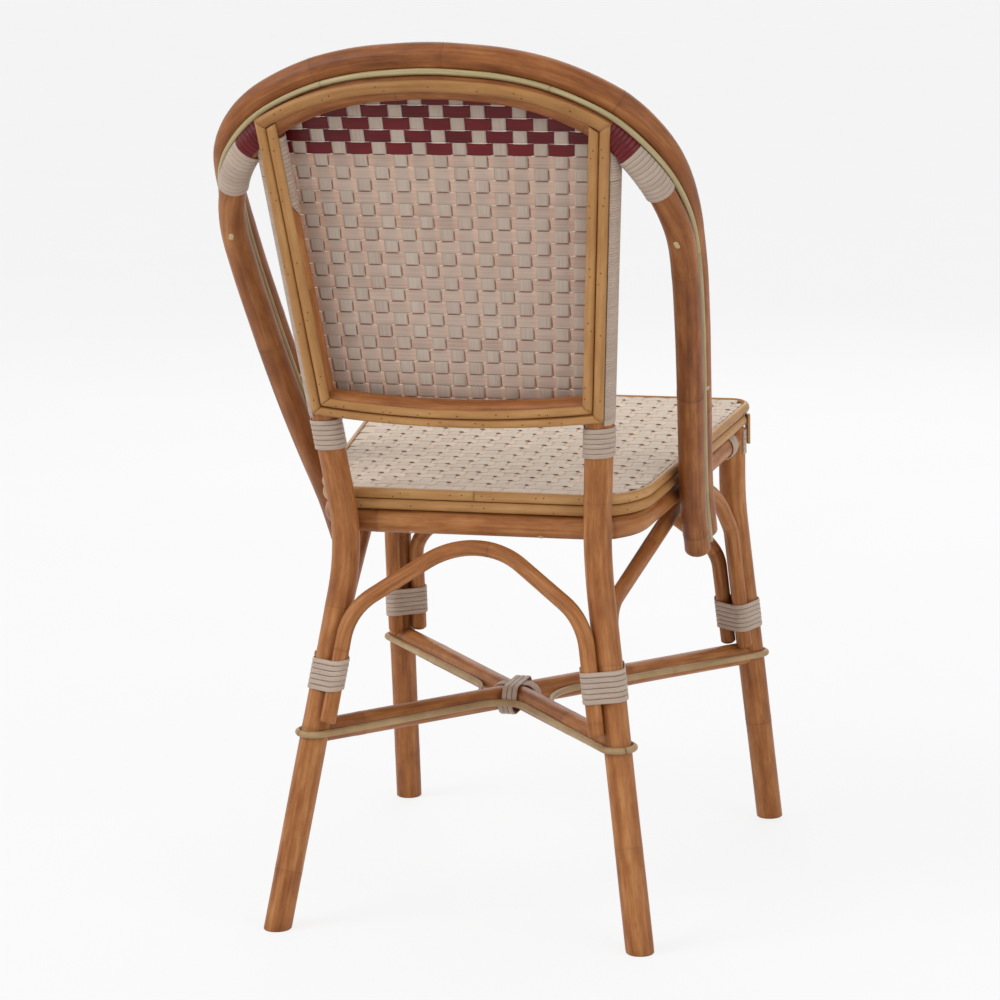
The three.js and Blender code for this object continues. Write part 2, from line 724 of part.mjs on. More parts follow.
// Stretchers cross in a half lap, and butt against the legs.
const rearAnkle = legPoint(rearLegCorners, rearLegDirection, stretcherHeight);
const frontAnkle = legPoint(frontLegCorners, frontLegDirection, stretcherHeight);
const [rightRearAnkle, rightFrontAnkle] = mirrored([rearAnkle, frontAnkle]);
const stretcherSection = roundSection(stretcherRadius, poleSides);
const fatStretcherSection = roundSection(stretcherRadius + clearance, poleSides);
const stretcherA = routeThrough([rearAnkle, rightFrontAnkle], () => up);
const stretcherB = routeThrough([rightRearAnkle, frontAnkle], () => up);
const crossingShare = rearAnkle.x / (rearAnkle.x + frontAnkle.x);
const crossingY = rearAnkle.y + crossingShare * (frontAnkle.y - rearAnkle.y);
const crossing = vec(0, crossingY, stretcherHeight);

function halfSpace(above) {
  const size = legRadius * 4;
  const box = new THREE.BoxGeometry(size, size, size);
  const height = crossing.z + (above ? 1 : -1) * (size / 2 - clearance / 2);
  return box.translate(crossing.x, crossing.y, height);
}

function lapped(route, other, above) {
  const passing = toSolid(sweep(fatStretcherSection, other));
  const notch = toGeometry(passing.intersect(toSolid(halfSpace(above))));
  return cut(sweep(stretcherSection, route), notch, ...fatLegs);
}
addPart('stretcher_left_rear', lapped(stretcherA, stretcherB, false), rattan);
addPart('stretcher_right_rear', lapped(stretcherB, stretcherA, true), rattan);

// The lashing over the crossing has one layer each way, the upper one lifted by the lower.
const crossingAngle = rearAnkle.clone().sub(crossing).angleTo(vec(0, 1, 0));
const lashingSpan = (lashingTurns * strandPitch + strandWidth) / 2;
const lashingLift = strandThickness + clearance;

// How far the poles reach along the middle line between them, at the edge of the lashing.
function lashedReach(halfAngle) {
  return stretcherRadius / Math.sin(halfAngle) + lashingSpan / Math.tan(halfAngle);
}

// Strips hug the stretchers, bend clear of the lashing and hook round each leg.
const rearLegTilt = Math.acos(rearLegDirection.z);
const legHug = legRadius / Math.cos(rearLegTilt) + (stripWidth / 2) * Math.tan(rearLegTilt) + clearance;
const stripHug = stretcherRadius + clearance;
const quarterTurn = (v, direction) => vec(-v.y * direction, v.x * direction, 0);
const hookSteps = 6;

function hookArc(centre, spoke, towards, from, to) {
  return Array.from({ length: hookSteps + 1 }, (_, i) => {
    const angle = from + ((to - from) * i) / hookSteps;
    const point = centre.clone().addScaledVector(spoke, legHug * Math.cos(angle));
    return point.addScaledVector(towards, legHug * Math.sin(angle));
  });
}

// The radius at which a strip that hugs both stretchers passes the lashing at a given gap.
function clearBendRadius(halfAngle, lift, gap) {
  const lashed = lashedReach(halfAngle) + 2 * lift + windingClear + strandThickness;
  const share = Math.sin(halfAngle);
  return ((lashed + gap) * share - stripHug) / (1 - share);
}

function stripPath(from, to, lift, gap) {
  const spokes = [from, to].map((ankle) => ankle.clone().sub(crossing).normalize());
  const sideways = [quarterTurn(spokes[0], 1), quarterTurn(spokes[1], -1)];
  const halfAngle = spokes[0].angleTo(spokes[1]) / 2;
  const bisector = spokes[0].clone().add(spokes[1]).normalize();
  const bendRadius = clearBendRadius(halfAngle, lift, gap);
  const reach = stripHug + bendRadius;
  const centre = crossing.clone().addScaledVector(bisector, reach / Math.sin(halfAngle));
  const jointAngle = clearance / legHug;
  const start = hookArc(from, spokes[0], sideways[0], jointAngle, Math.PI / 2);
  const finish = hookArc(to, spokes[1], sideways[1], jointAngle, Math.PI / 2).reverse();
  const swing = Math.PI / 2 - halfAngle;
  const steps = Math.ceil((2 * swing) / (2 * bendStep));
  const bend = Array.from({ length: steps + 1 }, (_, i) => {
    const angle = swing - (2 * swing * i) / steps;
    const inward = bisector.clone().multiplyScalar(-Math.cos(angle));
    const lateral = quarterTurn(bisector, -1).multiplyScalar(Math.sin(angle));
    return centre.clone().addScaledVector(inward.add(lateral), bendRadius);
  });
  return [...start, ...bend, ...finish];
}

const stripSection = halfRoundSection(stripWidth, stripThickness);
const stripSectors = [
  ['rear', rearAnkle, rightRearAnkle, lashingLift, stripGapEnd],
  ['right', rightRearAnkle, rightFrontAnkle, 0, stripGapSide],
  ['front', rightFrontAnkle, frontAnkle, lashingLift, stripGapEnd],
  ['left', frontAnkle, rearAnkle, 0, stripGapSide],
];
for (const [name, ...bend] of stripSectors) {
  const route = routeThrough(stripPath(...bend), () => up);
  addPart(`stretcher_strip_${name}`, sweep(stripSection, route), peel);
}

// Flat strand wound round a bundle of poles, as one unbroken helix.
const bandStrand = bandSection(strandWidth, strandThickness);
const windingGaps = [];

// The outline that a strand takes round a bundle: its farthest reach in a direction.
function bundleReach(poles, angle) {
  const direction = new THREE.Vector2(Math.cos(angle), Math.sin(angle));
  const slack = 1 / Math.cos(Math.PI / windingSteps);
  const reach = (pole) => pole.x * direction.x + pole.y * direction.y + pole.radius;
  const outermost = poles.reduce((best, pole) => (reach(pole) > reach(best) ? pole : best));
  const radius = outermost.radius * slack;
  return [outermost.x + radius * direction.x, outermost.y + radius * direction.y];
}

function winding({ turns, base, advance, poles, axes }) {
  const count = turns * windingSteps;
  const points = Array.from({ length: count + 1 }, (_, i) => {
    const [a, b] = bundleReach(poles, (2 * Math.PI * i) / windingSteps);
    const along = (i / windingSteps - turns / 2) * strandPitch;
    const point = base.clone().addScaledVector(advance, along);
    return point.addScaledVector(axes[0], a).addScaledVector(axes[1], b);
  });
  const route = routeThrough(points, () => advance);
  windingGaps.push(leastGap(points, advance));
  return sweep(bandStrand, route);
}

// The least clear distance between neighbouring turns, measured along the winding.
function leastGap(points, advance) {
  let least = Infinity;
  for (let i = 0; i + windingSteps < points.length; i += 1) {
    const step = points[i + windingSteps].clone().sub(points[i]);
    least = Math.min(least, Math.abs(step.dot(advance)) - strandWidth);
  }
  return least;
}

// A leg with the feet of the two arches beside it.
function legBundle(side, depthways, arch) {
  const widened = (radius) => radius / Math.cos(rearLegTilt) + windingClear;
  const foot = crossFoot(arch);
  return [
    { x: 0, y: 0, radius: widened(legRadius) },
    { x: foot.x * side, y: foot.y, radius: widened(archRadius) },
    { x: 0, y: archSpacing * depthways, radius: widened(archRadius) },
  ];
}

const flatAxes = [vec(1, 0, 0), vec(0, 1, 0)];
const boundLegs = [
  ['rear', rearLeg, -1, rearArch],
  ['front', frontLeg, 1, frontArch],
];
for (const [end, leg, depthways, arch] of boundLegs) {
  for (const [name, side] of sides) {
    const geometry = winding({
      turns: legBindingTurns,
      base: placed([legPoint(leg.corners, leg.direction, leg.bindingHeight)], side)[0],
      advance: placed([leg.direction], side)[0],
      poles: legBundle(side, depthways, arch),
      axes: flatAxes,
    });
    addPart(`leg_binding_${end}_${name}`, geometry, paleStrand);
  }
}

// Bindings round the posts below the woven back.
const postBinding = [{ x: 0, y: 0, radius: legRadius / postDirection.z + windingClear }];
for (const [name, side] of sides) {
  const geometry = winding({
    turns: postBindingTurns,
    base: placed([postPoint(backRailHeight - postBindingDrop)], side)[0],
    advance: placed([postDirection], side)[0],
    poles: postBinding,
    axes: flatAxes,
  });
  addPart(`post_binding_${name}`, geometry, paleStrand);
}

// Bindings round the side rails where they meet the front legs.
const railBinding = [{ x: 0, y: 0, radius: railRadius + windingClear }];
for (const [name, side] of sides) {
  const advance = placed([railDirection], side)[0];
  const base = placed([railBindingPoint(railBindingStart + railBindingSpan / 2)], side)[0];
  const across = advance.clone().cross(up).normalize();
  const geometry = winding({
    turns: railBindingTurns,
    base,
    advance,
    poles: railBinding,
    axes: [across.clone().cross(advance).normalize(), across],
  });
  addPart(`rail_binding_${name}`, geometry, paleStrand);
}

// Lashing over the crossing of the stretchers, one layer each way.
function lashingBundle(halfAngle, lift) {
  const radius = stretcherRadius + windingClear + lift;
  const shift = lashedReach(halfAngle) + lift - stretcherRadius;
  return [{ x: shift, y: 0, radius }, { x: -shift, y: 0, radius }];
}

const crossLashings = [
  ['across', vec(0, 1, 0), vec(1, 0, 0), lashingBundle(Math.PI / 2 - crossingAngle, 0)],
  ['along', vec(1, 0, 0), vec(0, 1, 0), lashingBundle(crossingAngle, lashingLift)],
];
for (const [name, advance, across, poles] of crossLashings) {
  const axes = [across, advance.clone().cross(across)];
  const geometry = winding({ turns: lashingTurns, base: crossing, advance, poles, axes });
  addPart(`lashing_${name}`, geometry, paleStrand);
}
console.log(`least gap between turns of a binding: ${Math.min(...windingGaps).toFixed(2)} mm`);

// Wraps of strand over one side of a pole, between two angles given in degrees.
function wrapSection(radius, fromDegrees, toDegrees) {
  const from = THREE.MathUtils.degToRad(fromDegrees);
  const to = THREE.MathUtils.degToRad(toDegrees);
  const steps = Math.ceil((to - from) / wrapStep);
  return shellSection(radius + clearance, wrapThickness, from, to, steps);
}

const straightAngle = 180;

function outerWrapSection(radius, [from, to], side) {
  if (side > 0) return wrapSection(radius, from, to);
  return wrapSection(radius, straightAngle - to, straightAngle - from);
}

// The woven strands turn round the outer side of each post.
for (const [name, side] of sides) {
  const foot = postPoint(backRailHeight - postWrapFootDrop);
  const head = postPoint(hoopTopHeight - postWrapHeadDrop);
  const route = routeThrough(placed([foot, head], side), legSide);
  addPart(`post_wrap_${name}`, sweep(outerWrapSection(legRadius, postWrapDegrees, side), route), paleStrand);
}

// A wrap covers the outer quarter of each front leg top, where both rails meet it.
for (const [name, side] of sides) {
  const head = frontLegCorners[2].clone().addScaledVector(up, -legWrapInset);
  const foot = head.clone().addScaledVector(up, -legWrapLength);
  const route = routeThrough(placed([foot, head], side), legSide);
  addPart(`leg_wrap_${name}`, sweep(outerWrapSection(legRadius, legWrapDegrees, side), route), paleStrand);
}

// Wraps on the inner hoop beside each post, dark next to the post and pale beyond it.
const hoopWraps = [
  ['hoop_wrap_dark', darkWrapDegrees, darkWrapDrops, darkStrand],
  ['hoop_wrap_pale', paleWrapDegrees, paleWrapDrops, paleStrand],
];
for (const [kind, degrees, drops, material] of hoopWraps) {
  const heights = drops.map((drop) => hoopTopHeight - drop);
  for (const [name, side] of sides) {
    const route = hoopRoute.beside(0, 0, ...armStretch(side, ...heights));
    addPart(`${kind}_${name}`, sweep(wrapSection(hoopRadius + clearance, ...degrees), route), material);
  }
}

// Woven panel of the back: a sheet in front of the posts, arched along the inner hoop.
const backLocal = (point) => {
  const offset = point.clone().sub(vec(0, rearBendY, rearBendHeight));
  return new THREE.Vector2(offset.x, offset.dot(backUp));
};
const backMatrix = new THREE.Matrix4()
  .makeBasis(vec(1, 0, 0), backUp, backFront)
  .setPosition(0, rearBendY, rearBendHeight);
const postLocal = (z) => backLocal(postPoint(z));
const postFoot = postLocal(backRailHeight);
const postHead = postLocal(hoopTopHeight);
const postLine = (s) => {
  const share = (s - postFoot.y) / (postHead.y - postFoot.y);
  return postFoot.x + share * (postHead.x - postFoot.x);
};
const hoopArc = innerHoopPath.map(backLocal);

// The stretch of the inner hoop between the posts, from left to right, each point moved outward.
function archBetween(offsetAt, halfWidthAt) {
  const arc = [];
  for (let i = 0; i <= hoopSteps; i += 1) {
    const before = hoopArc[Math.max(i - 1, 0)];
    const after = hoopArc[Math.min(i + 1, hoopSteps)];
    const direction = after.clone().sub(before).normalize();
    const outward = new THREE.Vector2(direction.y, -direction.x);
    const point = hoopArc[i].clone().addScaledVector(outward, offsetAt(hoopArc[i]));
    if (point.y > postFoot.y && Math.abs(point.x) < halfWidthAt(point.y)) arc.push(point);
  }
  return arc;
}

// Where the line from an inside point to an outside point leaves the given half width.
function reachEdge(inside, outside, halfWidthAt) {
  let low = 0;
  let high = 1;
  for (let i = 0; i < edgeHalvings; i += 1) {
    const middle = (low + high) / 2;
    const point = inside.clone().lerp(outside, middle);
    if (Math.abs(point.x) < halfWidthAt(point.y)) low = middle;
    else high = middle;
  }
  return inside.clone().lerp(outside, low);
}

function archAcross(offsetAt, halfWidthAt) {
  const inside = archBetween(offsetAt, halfWidthAt);
  const [first, second] = inside;
  const beyond = first.clone().add(first.clone().sub(second));
  const end = reachEdge(first, beyond, halfWidthAt);
  const mirroredEnd = new THREE.Vector2(-end.x, end.y);
  const spaced = inside.filter((point) => Math.abs(point.x) < end.x - leastArchStep);
  return [end, ...spaced, mirroredEnd];
}

// The lower rail sags between the posts, and so does what lies along it. From left to right.
function sagging(end) {
  return Array.from({ length: backRailSteps + 1 }, (_, i) => {
    const share = 1 - (2 * i) / backRailSteps;
    return new THREE.Vector2(share * end.x, end.y - backRailSag * (1 - share ** 2));
  });
}

const panelHalfWidth = (s) => postLine(s) - panelSideInset;
const panelArc = archAcross(() => -panelTopInset, panelHalfWidth);
const panelFoot = postFoot.y - railRadius;
const panelShape = new THREE.Shape([
  ...sagging(new THREE.Vector2(panelHalfWidth(panelFoot), panelFoot)).reverse(),
  ...panelArc,
]);
const panel = new THREE.ExtrudeGeometry(panelShape, { depth: panelThickness, bevelEnabled: false });
panel.translate(0, 0, legRadius + clearance).applyMatrix4(backMatrix);
addPart('back_weave', panel, paleStrand);

// Lower rail of the back, between the posts.
const onRail = (point) => vec(point.x, point.y, -backRailSetback).applyMatrix4(backMatrix);
const backRailRoute = routeThrough(sagging(postFoot).map(onRail), () => backFront);
addPart('back_rail', cut(sweep(railSection, backRailRoute), ...fatPosts), rattan);

// Mitred half-round border on the rear of the back, two strips wide except along the top.
const borderDepth = legRadius + clearance;
const onBack = (point) => vec(point.x, point.y, -borderDepth).applyMatrix4(backMatrix);
const backVector = (direction) => vec(direction.x, direction.y, 0).transformDirection(backMatrix);
const postAlong = postHead.clone().sub(postFoot).normalize();
const outwards = new THREE.Vector2(postAlong.y, -postAlong.x);
const sideSection = halfRoundSection(borderSideWidth, edgingThickness);
const rimSection = halfRoundSection(borderRimWidth, edgingThickness);
const footSection = halfRoundSection(borderFootWidth, edgingThickness);
const sideOffset = (borderSideWidth + edgingGap) / 2;
const footOffset = (borderFootWidth + edgingGap) / 2;
const borderLine = (offset) => (s) => postLine(s) + (offset - borderSideInset) / outwards.x;

// The bulge of a border strip points to the rear.
function borderRoute(points, planes) {
  return routeThrough(points.map(onBack), (point, tangent) => tangent.clone().cross(backFront), planes);
}

// The plane in which a side strip meets another strip, whose outer edges face the given ways.
function mitre(out, width) {
  const turn = outwards.x * out.y - outwards.y * out.x;
  const x = (borderSideWidth * out.y - width * outwards.y) / turn;
  const y = (width * outwards.x - borderSideWidth * out.x) / turn;
  return backVector(new THREE.Vector2(-y, x).normalize());
}

// The outward direction at the left end of a strip whose outer side is to the right of its path.
function outwardAt([end, next], turn) {
  const along = end.clone().sub(next).normalize();
  return new THREE.Vector2(-along.y * turn, along.x * turn);
}

function shortened(points) {
  const last = points.length - 1;
  const pull = (end, next) => end.clone().add(next.clone().sub(end).setLength(clearance));
  return [pull(points[0], points[1]), ...points.slice(1, last), pull(points[last], points[last - 1])];
}

const mirrorPlane = (plane) => vec(-plane.x, plane.y, plane.z);
const borderLift = (point) => borderTopOffset + borderTopSpread * (point.x / postHead.x) ** 2;
const topArc = archAcross(borderLift, borderLine(sideOffset));
const topOut = outwardAt(topArc, 1);
const topMitre = mitre(topOut, borderRimWidth);
const topPlanes = { startPlane: topMitre, endPlane: mirrorPlane(topMitre) };
addPart('border_top', sweep(rimSection, borderRoute(shortened(topArc), topPlanes)), paleRattan);

// The outer side strip is mitred with the top one, and the inner side strip butts against it.
const underRim = borderRimWidth / 2 + edgingGap + clearance;
const underTop = archAcross((point) => borderLift(point) - underRim, borderLine(-sideOffset));
const borderRings = [
  ['outer', sideOffset, footOffset, topArc[0], topMitre],
  ['inner', -sideOffset, -footOffset, underTop[0], backVector(topOut)],
];
for (const [ring, across, below, head, headPlane] of borderRings) {
  const footHeight = postFoot.y - borderFootDrop - below;
  const foot = new THREE.Vector2(borderLine(across)(footHeight), footHeight);
  const footArc = sagging(foot);
  const footMitre = mitre(outwardAt(footArc, -1), borderFootWidth);
  for (const [name, side] of sides) {
    const points = shortened([foot, head]).map((point) => new THREE.Vector2(point.x * side, point.y));
    const [startPlane, endPlane] = placed([footMitre, headPlane], side);
    const route = borderRoute(points, { startPlane, endPlane });
    addPart(`border_side_${ring}_${name}`, sweep(sideSection, route), paleRattan);
  }
  const planes = { startPlane: footMitre, endPlane: mirrorPlane(footMitre) };
  const route = borderRoute(shortened(footArc), planes);
  addPart(`border_bottom_${ring}`, sweep(footSection, route), paleRattan);
}

// The origin is under the middle of the chair.
const bounds = new THREE.Box3().setFromObject(chair);
chair.position.y = -(bounds.min.y + bounds.max.y) / 2;
chair.updateMatrixWorld(true);

export default chair;
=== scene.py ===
"""Looks of the rattan bistro chair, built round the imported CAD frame.

Lengths are in millimetres, as in the part's source, until a mesh is made in metres.
The sitter faces -Y, and left means the sitter's left, +X.
"""

import math
import random

import bpy
import numpy as np
from mathutils import Matrix, Vector
from mathutils.bvhtree import BVHTree


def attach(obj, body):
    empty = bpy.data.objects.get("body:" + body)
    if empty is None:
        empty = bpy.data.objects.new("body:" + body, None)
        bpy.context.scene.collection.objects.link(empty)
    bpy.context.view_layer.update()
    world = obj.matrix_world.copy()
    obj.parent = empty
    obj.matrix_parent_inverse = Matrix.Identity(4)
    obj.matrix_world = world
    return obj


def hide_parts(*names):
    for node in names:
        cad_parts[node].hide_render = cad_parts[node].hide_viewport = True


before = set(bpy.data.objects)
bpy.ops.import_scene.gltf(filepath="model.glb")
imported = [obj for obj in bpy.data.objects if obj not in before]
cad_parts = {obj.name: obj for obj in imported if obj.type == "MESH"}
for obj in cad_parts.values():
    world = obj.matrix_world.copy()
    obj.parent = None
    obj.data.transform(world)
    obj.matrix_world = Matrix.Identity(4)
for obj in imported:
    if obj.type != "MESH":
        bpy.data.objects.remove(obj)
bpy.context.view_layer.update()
MM = 0.001
SIDES = (("left", 1), ("right", -1))

# Sizes of the part's source
leg_radius, hoop_radius, rail_radius, stretcher_radius = 14, 13.5, 12.5, 12
arch_radius = bar_radius = 8
clearance = 0.3
winding_clear = 2 * clearance
seat_front_height, seat_fall = 477.5, 39.5
seat_rear_height = seat_front_height - seat_fall
seat_front_y, seat_depth = -220, 379
seat_front_half, seat_rear_half = 206, 168.5
front_corner, rear_corner = 22, 57
deck_thickness, frame_width, frame_height = 3, 16, 19.5
edging_width, edging_thickness, edging_gap = 11, 5, 0.4
hoop_top = seat_rear_height + 414.5
hoop_foot, hoop_foot_y, hoop_half = seat_rear_height - 83, -6.6, 225.4
rear_bend, front_bend = seat_rear_height - 56.5, seat_front_height - 102
rear_bend_radius, front_bend_radius = 190, 200
rear_foot_half, rear_foot_back = 187.8, 87.5
rear_bend_half, rear_bend_back = 127.5, 6
front_top_back, front_splay, front_reach = 33, 20.4, 90.8
post_rise = hoop_top - 44 - rear_bend
post_spread, post_lean = 40.5, 101.2
back_rail_height = seat_rear_height + 97.3
back_rail_setback, back_rail_sag = 2, 9.5
stretcher_height = seat_rear_height - 242
arch_end, arch_straight, side_crown_y = stretcher_height + 13, 50, -60
rear_binding, front_binding = stretcher_height + 61.5, stretcher_height + 47.5
side_width, rim_width, foot_width, foot_drop, side_inset = 10.4, 12.4, 9, 1.8, 3.4
strand_width, strand_thickness, strand_pitch = 4.7, 1.3, 5.3
wrap_thickness = 1.2


def vec(x, y, z=0.0):
    return np.array([x, y, z], float)


UP, ACROSS, DEPTHWAYS = vec(0, 0, 1), vec(1, 0, 0), vec(0, 1, 0)


def unit(v):
    v = np.asarray(v, float)
    return v / np.linalg.norm(v)


def unit_rows(rows):
    return rows / np.linalg.norm(rows, axis=1)[:, None]


def mirrored(points):
    return np.asarray(points, float) * [-1, 1, 1]


def placed(points, side):
    return np.asarray(points, float) if side > 0 else mirrored(points)


# Paths


def bent_path(corners, radii, step=math.radians(3)):
    """A line of corners with an arc at each bend."""
    corners = [np.asarray(c, float) for c in corners]
    path = [corners[0]]
    for i in range(1, len(corners) - 1):
        arriving = unit(corners[i] - corners[i - 1])
        leaving = unit(corners[i + 1] - corners[i])
        turn = math.acos(np.clip(arriving @ leaving, -1, 1))
        radius = radii[i - 1]
        start = corners[i] - arriving * radius * math.tan(turn / 2)
        centre = corners[i] + unit(leaving - arriving) * radius / math.cos(turn / 2)
        spoke = start - centre
        count = max(1, math.ceil(turn / step))
        for k in range(count + 1):
            a = turn * k / count
            path.append(centre + spoke * math.cos(a) + arriving * radius * math.sin(a))
    path.append(corners[-1])
    return np.array(path)


def lengths(path):
    steps = np.linalg.norm(np.diff(path, axis=0), axis=1)
    return np.concatenate([[0], np.cumsum(steps)])


def interpolated(places, s, rows):
    return np.stack([np.interp(places, s, column) for column in rows.T], -1)


def at_lengths(path, places):
    """Points of a path at distances along it."""
    return interpolated(places, lengths(path), path)


def resampled(path, spacing):
    path = np.asarray(path, float)
    total = lengths(path)[-1]
    return at_lengths(path, np.linspace(0, total, max(2, round(total / spacing)) + 1))


def shortened(points):
    """A path whose two ends are drawn back by the clearance."""
    points = np.array(points, float)
    for end, beside in ((0, 1), (-1, -2)):
        points[end] += unit(points[beside] - points[end]) * clearance
    return points


def catmull_rom(points, count=24):
    """The centripetal curve through the points, as the part's source draws it."""
    pts = [2 * points[0] - points[1], *points, 2 * points[-1] - points[-2]]
    out = []
    for i in range(1, len(pts) - 2):
        p = pts[i - 1 : i + 3]
        d = [((p[k + 1] - p[k]) @ (p[k + 1] - p[k])) ** 0.25 for k in range(3)]
        t1 = ((p[1] - p[0]) / d[0] - (p[2] - p[0]) / (d[0] + d[1]) + (p[2] - p[1]) / d[1]) * d[1]
        t2 = ((p[2] - p[1]) / d[1] - (p[3] - p[1]) / (d[1] + d[2]) + (p[3] - p[2]) / d[2]) * d[1]
        for k in range(count):
            t = k / count
            a = 2 * p[1] - 2 * p[2] + t1 + t2
            b = -3 * p[1] + 3 * p[2] - 2 * t1 - t2
            out.append(((a * t + b) * t + t1) * t + p[1])
    return np.array([*out, points[-1]])


class Route:
    """Points with a sideways direction, the normal, and an outward one, the binormal, at each.

    The hint is the sideways direction, or a function that gives it for a point and its tangent.
    The planes are those in which the two ends are cut.
    """

    def __init__(self, points, hint, planes=(None, None)):
        self.points = points = np.asarray(points, float)
        before = np.vstack([points[:1] - (points[1:2] - points[:1]), points[:-1]])
        after = np.vstack([points[1:], points[-1:] * 2 - points[-2:-1]])
        self.tangents = unit_rows(unit_rows(points - before) + unit_rows(after - points))
        hints = [hint(p, t) if callable(hint) else hint for p, t in zip(points, self.tangents)]
        hints = np.array(hints, float)
        hints -= self.tangents * (hints * self.tangents).sum(1)[:, None]
        self.normals = unit_rows(hints)
        self.binormals = np.cross(self.tangents, self.normals)
        for i, plane in zip((0, -1), planes):
            if plane is not None:
                for axes in (self.normals, self.binormals):
                    axes[i] -= self.tangents[i] * (axes[i] @ plane) / (self.tangents[i] @ plane)

    def beside(self, sideways, outward, first=0, last=None):
        """The route moved aside, from one of its stations to another."""
        cut = slice(first, None if last is None else last + 1)
        copy = Route.__new__(Route)
        copy.tangents, copy.normals, copy.binormals = (
            rows[cut] for rows in (self.tangents, self.normals, self.binormals)
        )
        copy.points = self.points[cut] + copy.normals * sideways + copy.binormals * outward
        return copy


# The seat

seat_rear_y = seat_front_y + seat_depth
seat_slope = (seat_rear_height - seat_front_height) / seat_depth
seat_normal = unit(vec(0, -seat_slope, 1))
seat_rearward = unit(vec(0, 1, seat_slope))
seat_taper = (seat_front_half - seat_rear_half) / seat_depth
rail_drop = deck_thickness + clearance + frame_height + 2 * clearance + rail_radius
rail_inset = edging_thickness / 2 + rail_radius


def seat_height(y):
    return seat_front_height + seat_slope * (y - seat_front_y)


def seat_point(point, drop):
    return vec(point[0], point[1], seat_height(point[1])) - seat_normal * drop


def under_seat(point):
    return vec(point[0], point[1], seat_height(point[1]) - rail_drop)


def seat_half_width(y, inset=0.0):
    return seat_front_half - seat_taper * (y - seat_front_y) - inset * math.hypot(1, seat_taper)


def seat_outline(inset):
    front, rear = seat_front_y + inset, seat_rear_y - inset
    corners = [
        vec(0, front),
        vec(seat_half_width(front, inset), front),
        vec(seat_half_width(rear, inset), rear),
        vec(0, rear),
    ]
    radii = [max(front_corner - inset, clearance), max(rear_corner - inset, clearance)]
    return bent_path(corners, radii)


def rear_bow(inset, start_y, place):
    """The seat's outline round the rear, from one side to the other. Place puts points in height."""
    outline = [p for p in seat_outline(inset) if p[1] > start_y]
    left = np.array([place(p) for p in [vec(seat_half_width(start_y, inset), start_y), *outline]])
    return np.vstack([left, mirrored(left)[::-1][1:]])


# Legs, hoops and the plane of the back


class Leg:
    """A left leg, whose corners are its foot, its bend and its top, and the height of its binding."""

    def __init__(self, corners, binding, depthways):
        self.corners, self.binding, self.depthways = corners, binding, depthways
        self.direction = unit(corners[1] - corners[0])

    def at(self, z):
        return self.corners[0] + self.direction * z / self.direction[2]


rear_bend_y = seat_rear_y + rear_bend_back
rear_corners = [
    vec(rear_foot_half, seat_rear_y + rear_foot_back, 0),
    vec(rear_bend_half, rear_bend_y, rear_bend),
    vec(rear_bend_half + post_spread, rear_bend_y + post_lean, rear_bend + post_rise),
]
post_direction = unit(rear_corners[2] - rear_corners[1])
back_slope = post_lean / post_rise
back_up = unit(vec(0, back_slope, 1))
back_front = unit(vec(0, -1, back_slope))
back_origin = vec(0, rear_bend_y, rear_bend)
front_top_y = seat_front_y + front_top_back
front_top_x = seat_half_width(front_top_y, rail_inset)
front_top_z = seat_height(front_top_y) - rail_drop + rail_radius
front_corners = [
    vec(front_top_x + front_splay, front_top_y - front_reach, 0),
    vec(front_top_x, front_top_y, front_bend),
    vec(front_top_x, front_top_y, front_top_z),
]
rear_leg = Leg(rear_corners, rear_binding, -1)
front_leg = Leg(front_corners, front_binding, 1)


def back_plane_y(z):
    return rear_bend_y + back_slope * (z - rear_bend)


def post_point(z):
    return rear_corners[1] + post_direction * (z - rear_bend) / post_direction[2]


# Shares of the hoop's half width, of its height and, where it leaves the back, of its depth
hoop_shares = [
    (0.846, 0, 0), (0.86, 0.096, 0.113), (0.89, 0.199, 0.237), (0.922, 0.303, 0.354),
    (0.951, 0.41, 0.468), (0.976, 0.515, 0.573), (0.996, 0.618, 0.677), (1, 0.702, 0.768),
    (0.97, 0.768, 0.846), (0.917, 0.825, 0.911), (0.84, 0.874), (0.748, 0.914), (0.627, 0.946),
    (0.477, 0.973), (0.31, 0.99), (0.155, 0.997), (0, 1),
]
facing_start, facing_end = -5, 168


def hoop_plane_y(z):
    return back_plane_y(z) + leg_radius - hoop_radius


def hoop_station(shares):
    z = hoop_foot + shares[1] * (hoop_top - hoop_foot)
    sweep_depth = hoop_plane_y(hoop_top) - hoop_foot_y
    y = hoop_foot_y + shares[2] * sweep_depth if len(shares) > 2 else hoop_plane_y(z)
    return vec(shares[0] * hoop_half, y, z)


hoop_points = [hoop_station(s) for s in hoop_shares]
hoop_fine = catmull_rom(hoop_points + [mirrored(p) for p in hoop_points[-2::-1]])
arm_turn = math.pi / 2 - math.atan(seat_taper)


def smoothstep(x, low, high):
    t = min(1.0, max(0.0, (x - low) / (high - low)))
    return t * t * (3 - 2 * t)


def hoop_radial(point, tangent):
    """Away from the inside of the hoop, whose two poles stay side by side as it turns forward."""
    turn = smoothstep(hoop_top - point[2], facing_start, facing_end) * arm_turn
    return np.cross(vec(math.sin(turn) * np.sign(point[0]), math.cos(turn), 0), tangent)


hoop_route = Route(resampled(hoop_fine, 5), hoop_radial)
hoop_spacing = 2 * hoop_radius + clearance
hoop_heights = hoop_route.points[:, 2]
half_count = len(hoop_heights) // 2


def hoop_index(z, side):
    """The station of the hoop on one arm that is nearest to a height."""
    left = int(np.abs(hoop_heights[: half_count + 1] - z).argmin())
    return left if side > 0 else len(hoop_heights) - 1 - left


def back_point(across, up, front):
    """A point by its place in the plane of the back."""
    return back_origin + ACROSS * across + back_up * up + back_front * front


def back_local(point):
    offset = np.asarray(point, float) - back_origin
    return np.array([offset[0], offset @ back_up])


